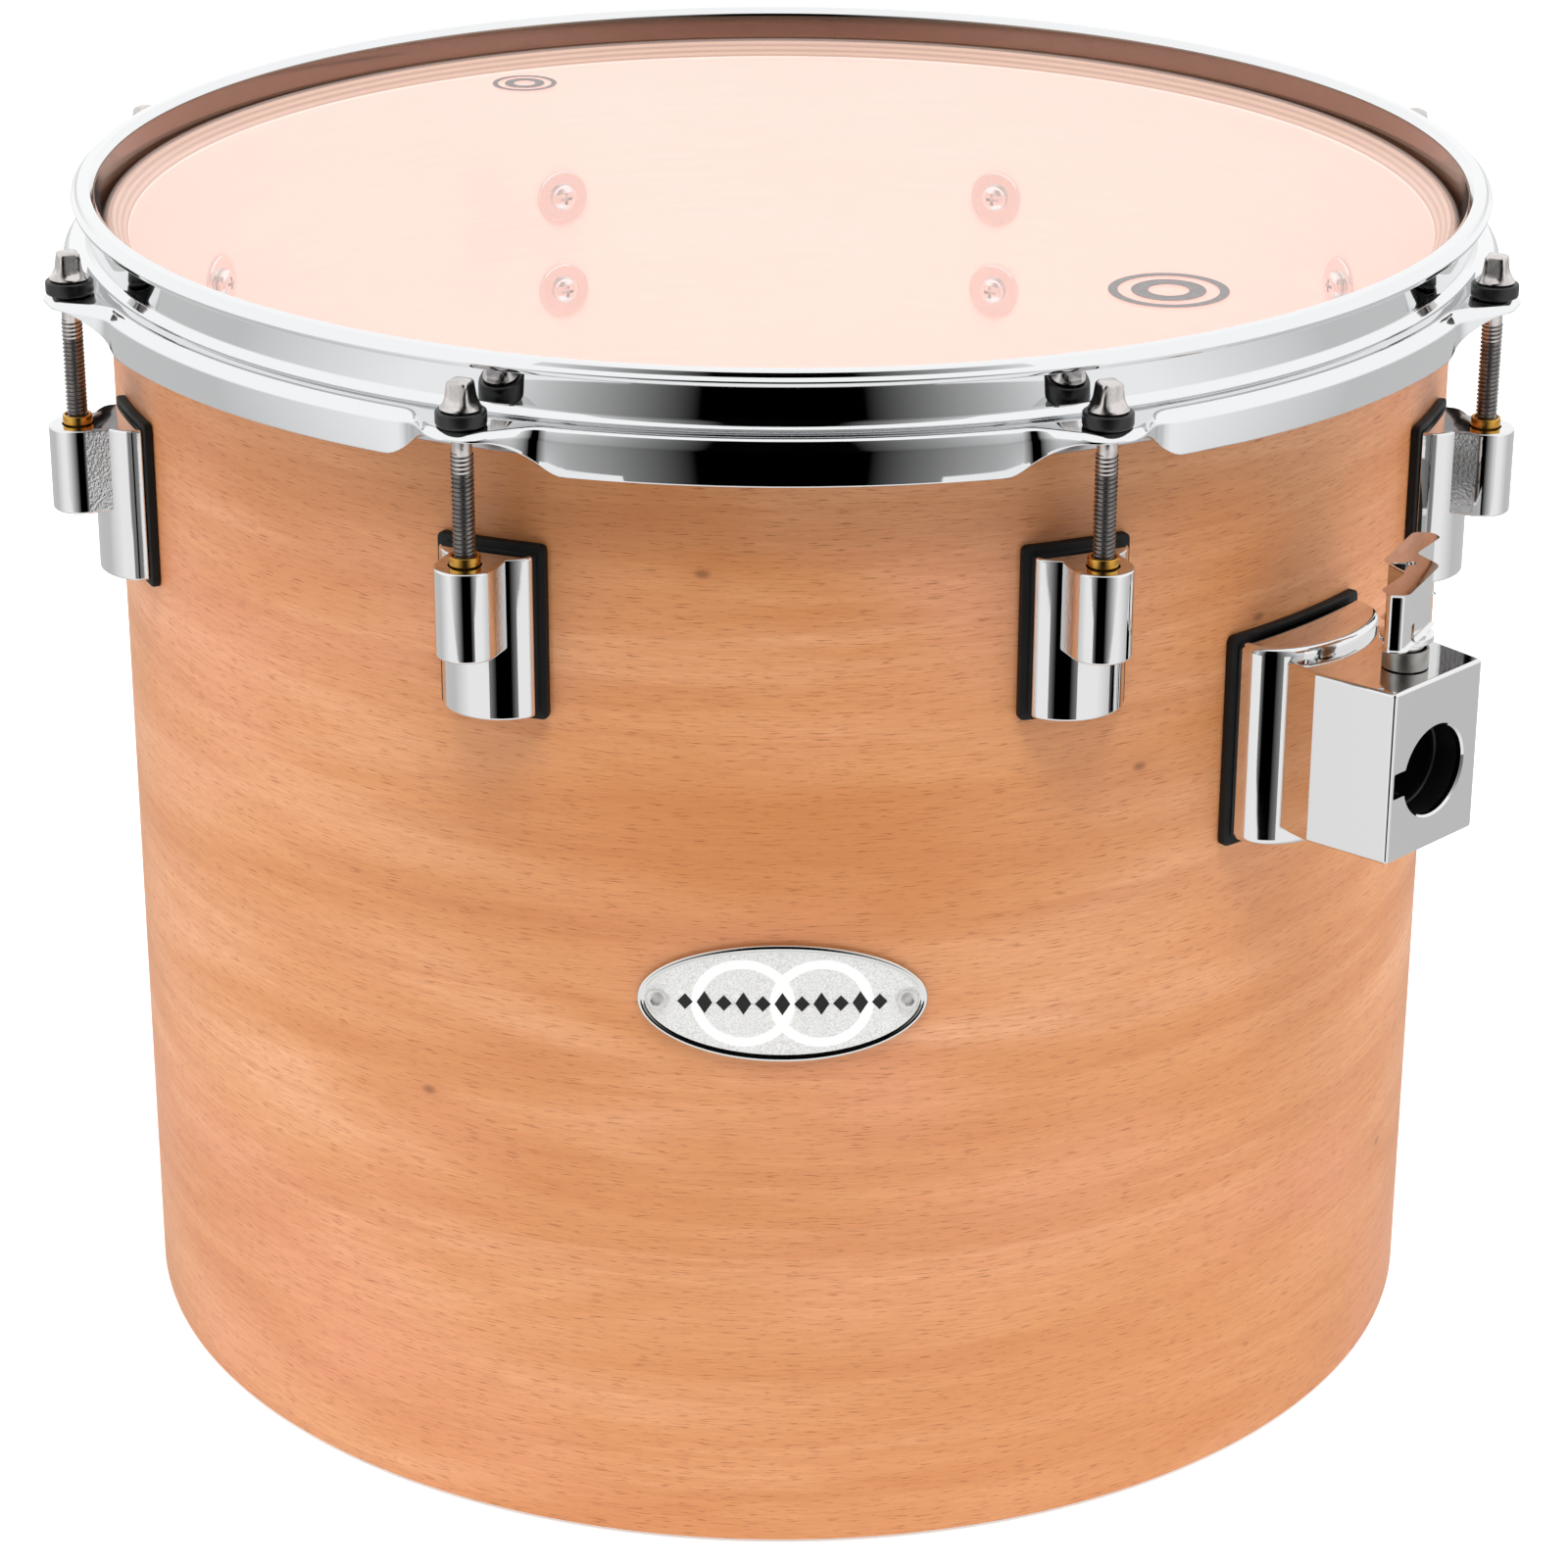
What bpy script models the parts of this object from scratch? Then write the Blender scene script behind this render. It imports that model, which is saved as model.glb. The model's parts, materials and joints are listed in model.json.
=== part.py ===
"""Single-headed concert tom: a wooden shell with one tensioned head and a tube bracket.

Units are metres and +Z is up. The origin is on the shell's axis at its open lower rim, and the
badge faces -Y. An azimuth of 0 degrees points to -Y and grows towards +X.
"""

import math
from dataclasses import dataclass
from math import cos, pi, radians, sin, sqrt

import bmesh
import bpy

MM = 0.001
OBJECT_NAME = "concert_tom"
ROUND_STEPS = 80  # facets round the drum, so that each lug sits on a facet corner
GAP = 0.3 * MM  # clearance between neighbouring pieces

SHELL_R = 177.8 * MM
SHELL_LENGTH = 304.8 * MM
SHELL_WALL = 6.0 * MM
EDGE_PEAK_R = 176.0 * MM

LUG_COUNT = 8
FIRST_LUG_AZIMUTH = 22.5
ROD_CIRCLE_R = 193.1 * MM
LUG_SCREW_Z = (232.0 * MM, 261.0 * MM)
LUG_SCREW_HOLE_R = 2.6 * MM

FILM_THICKNESS = 0.4 * MM

HOOP_STOCK = 2.3 * MM
EAR_R = 199.2 * MM
EAR_HALF_WIDTH = 4.0 * MM
EAR_BLEND = 10.0 * MM
SKIRT_BLEND_START = 4.5 * MM
SKIRT_BLEND_END = 21.0 * MM
FLANGE_TOP = 298.7 * MM
SKIRT_BOTTOM = 287.2 * MM

WASHER_R = 6.1 * MM
WASHER_HEIGHT = 3.4 * MM
ROD_R = 2.7 * MM
ROD_TIP_Z = 251.0 * MM
ROD_TOP_Z = 309.7 * MM
KEY_SIDE = 6.0 * MM

LUG_TOP = 264.8 * MM
LUG_BOTTOM = 224.6 * MM
BARREL_BOTTOM = 242.6 * MM
BARREL_R = 7.4 * MM
LUG_HALF_WIDTH = 12.0 * MM
LUG_BULGE = 11.3 * MM
LUG_SIDE_DEPTH = 5.0 * MM
PAD_THICKNESS = 2.0 * MM
INSERT_R = 3.75 * MM
INSERT_TOP = 267.3 * MM
INSERT_BOTTOM = 249.0 * MM

BRACKET_AZIMUTH = 45.0
BORE_Z = 204.8 * MM
BORE_R = 11.4 * MM
LINER_R = 12.6 * MM
BOX_FRONT = 44.5 * MM
BOX_HALF_FRONT = 17.1 * MM
BOX_HALF_BACK = 19.4 * MM
BOX_WAIST = 22.0 * MM
BOX_BOTTOM = 184.8 * MM
BOX_TOP = 229.0 * MM
BASE_BOTTOM = 180.0 * MM
BASE_TOP = 232.0 * MM
BASE_HALF_WIDTH = 22.6 * MM
BASE_BULGE = 17.4 * MM
CLAMP_RADIAL = 34.0 * MM
CLAMP_SHANK_R = 3.9 * MM
COLLAR_R = 5.7 * MM
COLLAR_BORE_R = 5.0 * MM
COLLAR_TOP = 234.0 * MM
CLAMP_NECK_R = 4.5 * MM
MOUNT_SCREWS = ((-15.0 * MM, 187.0 * MM), (15.0 * MM, 187.0 * MM),
                (-15.0 * MM, 225.0 * MM), (15.0 * MM, 225.0 * MM))

BADGE_HALF_AZIMUTH = 11.37
BADGE_HALF_HEIGHT = 15.6 * MM
BADGE_Z = 152.4 * MM
BADGE_THICKNESS = 1.2 * MM
BADGE_SCREW_AZIMUTH = 9.8


@dataclass(frozen=True)
class Finish:
    """One surface finish: its colour, how rough it is and whether it is metal."""

    name: str
    colour: tuple
    roughness: float
    metallic: float = 0.0
    alpha: float = 1.0

    def material(self):
        """Returns the Principled material of this finish, made on its first use."""
        found = bpy.data.materials.get(self.name)
        if found:
            return found
        made = bpy.data.materials.new(self.name)
        made.use_nodes = True
        made.diffuse_color = (*self.colour, self.alpha)
        shader = made.node_tree.nodes["Principled BSDF"]
        shader.inputs["Base Color"].default_value = (*self.colour, 1.0)
        shader.inputs["Roughness"].default_value = self.roughness
        shader.inputs["Metallic"].default_value = self.metallic
        shader.inputs["Alpha"].default_value = self.alpha
        return made


WOOD = Finish("satin_wood", (0.70, 0.34, 0.15), 0.42)
CHROME_SHEET = Finish("chromed_sheet", (0.80, 0.81, 0.82), 0.05, 1.0)
CHROME_CASTING = Finish("chromed_casting", (0.78, 0.78, 0.79), 0.07, 1.0)
CHROME_SMALL = Finish("chromed_screw", (0.74, 0.74, 0.75), 0.14, 1.0)
ROD_STEEL = Finish("plated_rod", (0.46, 0.45, 0.44), 0.24, 1.0)
COLLAR_STEEL = Finish("satin_collar", (0.50, 0.49, 0.47), 0.34, 1.0)
BRASS = Finish("brass_insert", (0.72, 0.50, 0.18), 0.24, 1.0)
RUBBER = Finish("rubber_pad", (0.012, 0.012, 0.013), 0.46)
NYLON = Finish("nylon_washer", (0.015, 0.015, 0.015), 0.38)
LINER = Finish("nylon_liner", (0.010, 0.010, 0.011), 0.50)
FILM = Finish("clear_film", (0.96, 0.95, 0.94), 0.06, 0.0, 0.25)
FLESH = Finish("flesh_hoop_alloy", (0.66, 0.66, 0.67), 0.34, 1.0)
PLATE = Finish("frosted_plate", (0.62, 0.62, 0.62), 0.36, 1.0)
SHOE = Finish("clamp_shoe_alloy", (0.55, 0.55, 0.56), 0.34, 1.0)


def clear_scene():
    """Removes every object of the starting scene."""
    for obj in list(bpy.data.objects):
        bpy.data.objects.remove(obj, do_unlink=True)


def new_collection(name):
    """Returns a new collection in the scene."""
    made = bpy.data.collections.new(name)
    bpy.context.scene.collection.children.link(made)
    return made


def object_of(name, mesh, collection, finish=None):
    """Returns a new object that shows this mesh."""
    obj = bpy.data.objects.new(name, mesh)
    collection.objects.link(obj)
    if finish and not mesh.materials:
        mesh.materials.append(finish.material())
    return obj


def mesh_of(name, bm):
    """Returns a mesh with the faces of bm turned outwards."""
    bmesh.ops.recalc_face_normals(bm, faces=bm.faces)
    mesh = bpy.data.meshes.new(name)
    bm.to_mesh(mesh)
    bm.free()
    return mesh


def baked(obj):
    """Applies the modifiers of obj, and returns it with the finished mesh."""
    graph = bpy.context.evaluated_depsgraph_get()
    mesh = bpy.data.meshes.new_from_object(obj.evaluated_get(graph), depsgraph=graph)
    obj.modifiers.clear()
    obj.data = mesh
    return obj


def closed_profile(name, profile, collection, finish, steps=ROUND_STEPS):
    """Turns a closed section once round Z.

    The section is a list of (radius, height), down its outer side from the top.
    """
    bm = bmesh.new()
    corners = [bm.verts.new((r, 0.0, z)) for r, z in profile]
    for start, end in zip(corners, corners[1:] + corners[:1]):
        if start.co.x > 0 or end.co.x > 0:
            bm.edges.new((start, end))
    mesh = bpy.data.meshes.new(name)
    bm.to_mesh(mesh)
    bm.free()
    obj = object_of(name, mesh, collection, finish)
    turn = obj.modifiers.new("turn", "SCREW")
    turn.axis = "Z"
    turn.steps = steps
    turn.render_steps = steps
    turn.use_merge_vertices = True
    turn.merge_threshold = 0.00001
    turn.use_smooth_shade = False
    return obj


def prism(bm, outline, low, high):
    """Adds to bm the prism of a plan outline between two heights."""
    lower = [bm.verts.new((x, y, low)) for x, y in outline]
    upper = [bm.verts.new((x, y, high)) for x, y in outline]
    bm.faces.new(lower[::-1])
    bm.faces.new(upper)
    count = len(outline)
    for i in range(count):
        j = (i + 1) % count
        bm.faces.new((lower[i], lower[j], upper[j], upper[i]))


def disc(radius, count, centre=(0.0, 0.0), start=0.0):
    """Returns the corners of a regular polygon."""
    return [
        (centre[0] + radius * cos(start + 2 * pi * i / count),
         centre[1] + radius * sin(start + 2 * pi * i / count))
        for i in range(count)
    ]


def rod_between(bm, start, end, radius, count):
    """Adds to bm a closed cylinder from one point to another, along Y."""
    near = [bm.verts.new((start[0] + x, start[1], start[2] + z)) for x, z in disc(radius, count)]
    far = [bm.verts.new((end[0] + x, end[1], end[2] + z)) for x, z in disc(radius, count)]
    bm.faces.new(near)
    bm.faces.new(far[::-1])
    for i in range(count):
        j = (i + 1) % count
        bm.faces.new((near[i], far[i], far[j], near[j]))


def boolean(obj, other, operation, name):
    """Adds an exact Boolean modifier to obj."""
    made = obj.modifiers.new(name, "BOOLEAN")
    made.operation = operation
    made.solver = "EXACT"
    made.object = other
    return made


def cutter(name, bm, helpers):
    """Returns a hidden object that only cuts others."""
    obj = object_of(name, mesh_of(name, bm), helpers)
    obj.hide_render = True
    obj.display_type = "WIRE"
    return obj


def place(obj, azimuth):
    """Turns an object that was built at the front round to its azimuth."""
    obj.rotation_euler = (0.0, 0.0, radians(azimuth))
    return obj


def lug_azimuths():
    """Returns the azimuth of each lug in degrees."""
    step = 360.0 / LUG_COUNT
    return [FIRST_LUG_AZIMUTH + step * i for i in range(LUG_COUNT)]


def turned_holes(bm, azimuth, holes, reach):
    """Adds to bm radial drills: each hole is (offset sideways, height, radius, sides)."""
    before = set(bm.verts)
    for x, z, radius, count in holes:
        rod_between(bm, (x, -reach[0], z), (x, -reach[1], z), radius, count)
    added = [v for v in bm.verts if v not in before]
    turn_verts(bm, added, azimuth)


def turn_verts(bm, verts, azimuth):
    """Rotates these vertices about Z by an azimuth in degrees."""
    angle = radians(azimuth)
    for v in verts:
        x, y = v.co.x, v.co.y
        v.co.x = x * cos(angle) - y * sin(angle)
        v.co.y = x * sin(angle) + y * cos(angle)


def build_shell(parts, helpers):
    """The ply shell: a bevelled bearing edge above and a flat rim below."""
    inner = SHELL_R - SHELL_WALL
    top = SHELL_LENGTH
    profile = [
        (EDGE_PEAK_R, top),
        (SHELL_R - 0.5 * MM, top - 0.7 * MM),
        (SHELL_R, top - 2.0 * MM),
        (SHELL_R, 0.8 * MM),
        (SHELL_R - 0.8 * MM, 0.0),
        (inner + 0.8 * MM, 0.0),
        (inner, 0.8 * MM),
        (inner, top - (EDGE_PEAK_R - inner)),
    ]
    shell = closed_profile("shell", profile, parts, WOOD)
    bm = bmesh.new()
    reach = (SHELL_R - 12 * MM, SHELL_R + 6 * MM)
    for azimuth in lug_azimuths():
        holes = [(0.0, z, LUG_SCREW_HOLE_R, 8) for z in LUG_SCREW_Z]
        turned_holes(bm, azimuth, holes, reach)
    mounts = [(x, z, 2.7 * MM, 8) for x, z in MOUNT_SCREWS]
    mounts.append((0.0, BORE_Z, LINER_R + GAP + 0.2 * MM, 24))
    turned_holes(bm, BRACKET_AZIMUTH, mounts, reach)
    for side in (-1, 1):
        turned_holes(bm, side * BADGE_SCREW_AZIMUTH, [(0.0, BADGE_Z, 1.5 * MM, 8)], reach)
    boolean(shell, cutter("shell_drills", bm, helpers), "DIFFERENCE", "drill")
    return shell


def smooth(value):
    """Eases a value from 0 to 1."""
    value = min(max(value, 0.0), 1.0)
    return value * value * (3.0 - 2.0 * value)


def mix(low, high, weight):
    """Returns the point between low and high at this weight."""
    return tuple(a + (b - a) * weight for a, b in zip(low, high))


def hoop_section(offset):
    """Returns the (radius, height) corners of the hoop at a sideways distance from a rod."""
    ear = 1.0 - smooth((offset - EAR_HALF_WIDTH) / EAR_BLEND)
    drop = smooth((offset - SKIRT_BLEND_START) / (SKIRT_BLEND_END - SKIRT_BLEND_START))
    under = FLANGE_TOP - HOOP_STOCK
    skirt_r = 189.2 * MM + (EAR_R - 189.2 * MM) * ear
    foot = under + (SKIRT_BOTTOM - under) * drop
    knee = mix((0.0, under + 0.5 * MM), (0.0, under - 0.8 * MM), drop)[1]
    inner_knee = mix((189.0 * MM, under), (186.3 * MM, under - 0.2 * MM), drop)
    inner_foot_r = skirt_r - HOOP_STOCK
    return [
        (inner_foot_r, foot),
        (skirt_r, foot),
        (skirt_r, knee),
        (skirt_r - 1.9 * MM, FLANGE_TOP - 0.1 * MM),
        (183.6 * MM, FLANGE_TOP + 0.1 * MM),
        (181.8 * MM, 300.9 * MM),
        (181.8 * MM, 310.6 * MM),
        (186.1 * MM, 309.9 * MM),
        (186.7 * MM, 312.0 * MM),
        (182.2 * MM, 313.6 * MM),
        (179.5 * MM, 311.2 * MM),
        (179.5 * MM, 299.6 * MM),
        (182.0 * MM, under),
        inner_knee,
    ]


def hoop_angles():
    """Returns (azimuth, sideways distance from the nearest rod) round the hoop."""
    half = pi * 190.0 * MM / LUG_COUNT
    offsets = [v * MM for v in (0.0, 4.0, 6.5, 9.0, 11.5, 14.0, 17.0, 21.0, 32.0, 45.0, 59.0)]
    found = []
    for azimuth in lug_azimuths():
        side = [azimuth + v / half * 180.0 / LUG_COUNT for v in offsets]
        found += list(zip(side, offsets))
        found.append((azimuth + 180.0 / LUG_COUNT, half))
        back = [azimuth + 360.0 / LUG_COUNT - v / half * 180.0 / LUG_COUNT for v in offsets[:0:-1]]
        found += list(zip(back, offsets[:0:-1]))
    return found


def build_hoop(parts, helpers):
    """The pressed hoop: rolled lip, wall, flange, and a skirt that opens into an ear per rod."""
    bm = bmesh.new()
    rings = []
    for azimuth, offset in hoop_angles():
        angle = radians(azimuth)
        ring = [bm.verts.new((r * sin(angle), -r * cos(angle), z)) for r, z in hoop_section(offset)]
        rings.append(ring)
    for ring, following in zip(rings, rings[1:] + rings[:1]):
        count = len(ring)
        for i in range(count):
            j = (i + 1) % count
            bm.faces.new((ring[i], following[i], following[j], ring[j]))
    hoop = object_of("tension_hoop", mesh_of("tension_hoop", bm), parts, CHROME_SHEET)
    drills = bmesh.new()
    for azimuth in lug_azimuths():
        angle = radians(azimuth)
        centre = (ROD_CIRCLE_R * sin(angle), -ROD_CIRCLE_R * cos(angle))
        prism(drills, disc(3.5 * MM, 12, centre), FLANGE_TOP - 8 * MM, FLANGE_TOP + 8 * MM)
    boolean(hoop, cutter("hoop_drills", drills, helpers), "DIFFERENCE", "drill")
    return hoop


def build_head(parts):
    """The clear film over the bearing edge, and the flesh hoop that grips its rim."""
    top = SHELL_LENGTH + GAP
    thick = FILM_THICKNESS
    profile = [
        (0.0, top + thick),
        (176.2 * MM, top + thick),
        (178.2 * MM, top - 0.4 * MM),
        (178.85 * MM, 302.6 * MM),
        (178.85 * MM, 297.3 * MM),
        (178.25 * MM, 297.3 * MM),
        (178.25 * MM, 302.6 * MM),
        (177.6 * MM, top - 0.55 * MM),
        (176.0 * MM, top),
        (0.0, top),
    ]
    closed_profile("drumhead_film", profile, parts, FILM)
    ring = [
        (178.3 * MM, 296.9 * MM),
        (179.6 * MM, 296.9 * MM),
        (181.3 * MM, 296.0 * MM),
        (184.4 * MM, 295.9 * MM),
        (184.4 * MM, 290.2 * MM),
        (178.3 * MM, 290.2 * MM),
    ]
    closed_profile("flesh_hoop", ring, parts, FLESH)


def curved_pad(name, half_azimuth, low, high, corner, thickness, columns, collection, finish):
    """A rubber pad bent round the shell, with clipped corners, thickened by Solidify."""
    radius = SHELL_R + GAP
    bm = bmesh.new()
    strips = []
    clip = corner / radius * 180.0 / pi
    edges = [-half_azimuth, -half_azimuth + clip, *columns, half_azimuth - clip, half_azimuth]
    for azimuth in edges:
        cut = corner if abs(azimuth) == half_azimuth else 0.0
        angle = radians(azimuth)
        x, y = radius * sin(angle), -radius * cos(angle)
        strips.append((bm.verts.new((x, y, low + cut)), bm.verts.new((x, y, high - cut))))
    for left, right in zip(strips, strips[1:]):
        bm.faces.new((left[0], right[0], right[1], left[1]))
    mesh = bpy.data.meshes.new(name)
    bm.to_mesh(mesh)
    bm.free()
    obj = object_of(name, mesh, collection, finish)
    thicken(obj, thickness)
    return obj


def thicken(obj, thickness):
    """Grows a sheet outwards to a solid."""
    grow = obj.modifiers.new("thicken", "SOLIDIFY")
    grow.thickness = thickness
    grow.offset = 1.0
    grow.use_even_offset = True


def half_oval(half_width, bulge, side_depth, count):
    """Returns the front of a D outline from left to right, as (sideways, outwards)."""
    points = []
    for i in range(count + 1):
        angle = pi - pi * i / count
        points.append((half_width * cos(angle), side_depth + (bulge - side_depth) * sin(angle)))
    return points


def shallow_arc(half_width, bulge, side_depth, count):
    """Returns the front of a D outline that is one arc between two corners."""
    rise = bulge - side_depth
    radius = (half_width * half_width + rise * rise) / (2.0 * rise)
    sweep = math.asin(half_width / radius)
    points = []
    for i in range(count + 1):
        angle = -sweep + 2.0 * sweep * i / count
        points.append((radius * sin(angle), bulge - radius + radius * cos(angle)))
    return points


def d_outline(half_width, back, front):
    """A D-shaped plan outline whose back follows the shell. Outwards is -Y."""
    side_y = sqrt(back * back - half_width * half_width)
    outline = [(x, -(SHELL_R + y)) for x, y in front]
    outline.append((half_width, -side_y))
    step = radians(360.0 / ROUND_STEPS)
    reach = int(math.asin(half_width / back) / step)
    for i in range(reach, -reach - 1, -1):
        outline.append((back * sin(i * step), -back * cos(i * step)))
    outline.append((-half_width, -side_y))
    return outline


def lug_mesh(helpers):
    """The lug casting: a D-shaped foot with an overhanging barrel and a blind bore."""
    bm = bmesh.new()
    back = SHELL_R + GAP + PAD_THICKNESS + GAP
    front = shallow_arc(LUG_HALF_WIDTH, LUG_BULGE, LUG_SIDE_DEPTH, 8)
    prism(bm, d_outline(LUG_HALF_WIDTH, back, front), LUG_BOTTOM, LUG_TOP)
    foot = object_of("lug_master", mesh_of("lug_master", bm), helpers, CHROME_CASTING)
    bm = bmesh.new()
    neck = [(x, -ROD_CIRCLE_R - y) for x, y in disc(BARREL_R, 16) if y > -1.0 * MM]
    neck += [(-BARREL_R, -SHELL_R - 7.5 * MM), (BARREL_R, -SHELL_R - 7.5 * MM)]
    prism(bm, neck, BARREL_BOTTOM, LUG_TOP)
    barrel = cutter("lug_barrel", bm, helpers)
    bm = bmesh.new()
    prism(bm, disc(INSERT_R + 0.35 * MM, 12, (0.0, -ROD_CIRCLE_R)), INSERT_BOTTOM - GAP, LUG_TOP + 2 * MM)
    bore = cutter("lug_bore", bm, helpers)
    bm = bmesh.new()
    for z in LUG_SCREW_Z:
        rod_between(bm, (0.0, -(back - 3 * MM), z), (0.0, -(back + 5 * MM), z), 2.1 * MM, 8)
    taps = cutter("lug_taps", bm, helpers)
    boolean(foot, barrel, "UNION", "barrel")
    boolean(foot, bore, "DIFFERENCE", "bore")
    boolean(foot, taps, "DIFFERENCE", "taps")
    baked(foot)
    foot.hide_render = True
    foot.display_type = "WIRE"
    return foot.data


def pad_mesh(helpers):
    """The rubber pad under a lug, drilled for its screws."""
    half = 13.8 * MM / SHELL_R * 180.0 / pi
    pad = curved_pad("pad_master", half, 222.9 * MM, 266.6 * MM, 1.6 * MM, PAD_THICKNESS, [0.0],
                     helpers, RUBBER)
    bm = bmesh.new()
    for z in LUG_SCREW_Z:
        rod_between(bm, (0.0, -SHELL_R + 3 * MM, z), (0.0, -SHELL_R - 6 * MM, z), 2.6 * MM, 8)
    boolean(pad, cutter("pad_drills", bm, helpers), "DIFFERENCE", "drill")
    baked(pad)
    pad.hide_render = True
    pad.display_type = "WIRE"
    return pad.data


def turned_mesh(name, profile, finish, helpers, steps=12):
    """Returns the mesh of a small turned piece that several objects share."""
    obj = baked(closed_profile(name, profile, helpers, finish, steps))
    obj.hide_render = True
    obj.display_type = "WIRE"
    return obj.data


def insert_mesh(helpers):
    """The brass thread insert that stands a little proud of its lug."""
    inner = ROD_R + 0.25 * MM
    profile = [
        (inner, INSERT_TOP),
        (INSERT_R - 0.3 * MM, INSERT_TOP),
        (INSERT_R, INSERT_TOP - 0.3 * MM),
        (INSERT_R, INSERT_BOTTOM),
        (inner, INSERT_BOTTOM),
    ]
    return turned_mesh("insert_master", profile, BRASS, helpers)


def washer_mesh(helpers):
    """The nylon washer under a tension rod's head."""
    low = FLANGE_TOP + GAP
    high = low + WASHER_HEIGHT
    profile = [
        (3.1 * MM, high),
        (WASHER_R, high),
        (WASHER_R, low),
        (3.1 * MM, low),
    ]
    return turned_mesh("washer_master", profile, NYLON, helpers)


def tension_rod_mesh(helpers):
    """A tension rod: square key head on a domed flange, and a long shank."""
    seat = FLANGE_TOP + GAP + WASHER_HEIGHT + GAP
    profile = [
        (0.0, seat + 2.6 * MM),
        (2.9 * MM, seat + 2.6 * MM),
        (3.6 * MM, seat + 1.4 * MM),
        (5.3 * MM, seat + 0.8 * MM),
        (5.3 * MM, seat),
        (ROD_R, seat),
        (ROD_R, ROD_TIP_Z + 0.9 * MM),
        (ROD_R - 0.9 * MM, ROD_TIP_Z),
        (0.0, ROD_TIP_Z),
    ]
    rod = closed_profile("rod_master", profile, helpers, ROD_STEEL, 12)
    half = KEY_SIDE / 2
    bm = bmesh.new()
    low = [(-half, -half), (half, -half), (half, half), (-half, half)]
    levels = ((seat + 0.5 * MM, 1.0), (ROD_TOP_Z - 1.1 * MM, 0.93), (ROD_TOP_Z, 0.62))
    rings = [[bm.verts.new((x * s, y * s, z)) for x, y in low] for z, s in levels]
    bm.faces.new(rings[0][::-1])
    bm.faces.new(rings[-1])
    for ring, above in zip(rings, rings[1:]):
        for i in range(4):
            j = (i + 1) % 4
            bm.faces.new((ring[i], ring[j], above[j], above[i]))
    boolean(rod, cutter("rod_key", bm, helpers), "UNION", "key")
    baked(rod)
    rod.hide_render = True
    rod.display_type = "WIRE"
    return rod.data


def build_lugs(parts, helpers):
    """The lugs round the shell, each with its pad, insert, tension rod and washer."""
    lug, pad, insert = lug_mesh(helpers), pad_mesh(helpers), insert_mesh(helpers)
    rod, washer = tension_rod_mesh(helpers), washer_mesh(helpers)
    for number, azimuth in enumerate(lug_azimuths(), 1):
        angle = radians(azimuth)
        axis = (ROD_CIRCLE_R * sin(angle), -ROD_CIRCLE_R * cos(angle), 0.0)
        place(object_of(f"lug_{number}", lug, parts), azimuth)
        place(object_of(f"lug_pad_{number}", pad, parts), azimuth)
        for name, mesh in (("lug_insert", insert), ("tension_rod", rod), ("rod_washer", washer)):
            piece = place(object_of(f"{name}_{number}", mesh, parts), azimuth)
            piece.location = axis


def bracket_solid(helpers):
    """The bracket casting before it is drilled: a D-shaped foot with a square nose."""
    bm = bmesh.new()
    back = SHELL_R + GAP + PAD_THICKNESS + GAP
    front = half_oval(BASE_HALF_WIDTH, BASE_BULGE, 4.2 * MM, 14)
    prism(bm, d_outline(BASE_HALF_WIDTH, back, front), BASE_BOTTOM, BASE_TOP)
    foot = mesh_of("bracket_body", bm)
    bm = bmesh.new()
    front, root = -(SHELL_R + BOX_FRONT), -(SHELL_R + 8.0 * MM)
    nose = [
        (-BOX_HALF_FRONT, front),
        (BOX_HALF_FRONT, front),
        (BOX_HALF_BACK, -(SHELL_R + BOX_WAIST)),
        (BOX_HALF_BACK - 2.2 * MM, root),
        (-BOX_HALF_BACK + 2.2 * MM, root),
        (-BOX_HALF_BACK, -(SHELL_R + BOX_WAIST)),
    ]
    prism(bm, nose, BOX_BOTTOM, BOX_TOP)
    return foot, cutter("bracket_nose", bm, helpers)


def bracket_drills(helpers):
    """The receiver bore, key slot, clamp screw hole and mounting screw holes of the bracket."""
    back, front = SHELL_R, SHELL_R + BOX_FRONT
    bm = bmesh.new()
    rod_between(bm, (0.0, -back, BORE_Z), (0.0, -(front + 5 * MM), BORE_Z), BORE_R, 24)
    bore = cutter("bracket_bore", bm, helpers)
    bm = bmesh.new()
    rod_between(bm, (0.0, -back, BORE_Z), (0.0, -(front - 1.6 * MM), BORE_Z), LINER_R + GAP, 24)
    counterbore = cutter("bracket_counterbore", bm, helpers)
    bm = bmesh.new()
    slot = [(-15.8 * MM, -(front + 5 * MM)), (0.0, -(front + 5 * MM)),
            (0.0, -(front - 24 * MM)), (-15.8 * MM, -(front - 24 * MM))]
    prism(bm, slot, BORE_Z - 3.3 * MM, BORE_Z + 3.3 * MM)
    slot_cut = cutter("bracket_key_slot", bm, helpers)
    bm = bmesh.new()
    centre = (0.0, -(SHELL_R + CLAMP_RADIAL))
    prism(bm, disc(CLAMP_SHANK_R + 0.3 * MM, 12, centre), BORE_Z, BOX_TOP + 5 * MM)
    screw_cut = cutter("bracket_screw_hole", bm, helpers)
    bm = bmesh.new()
    prism(bm, disc(5.0 * MM, 12, centre), BORE_Z, 222.6 * MM)
    pocket = cutter("bracket_shoe_pocket", bm, helpers)
    bm = bmesh.new()
    for x, z in MOUNT_SCREWS:
        rod_between(bm, (x, -(back - 4 * MM), z), (x, -(back + 7.4 * MM), z), 2.6 * MM, 8)
    taps = cutter("bracket_taps", bm, helpers)
    return bore, counterbore, slot_cut, screw_cut, pocket, taps


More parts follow.
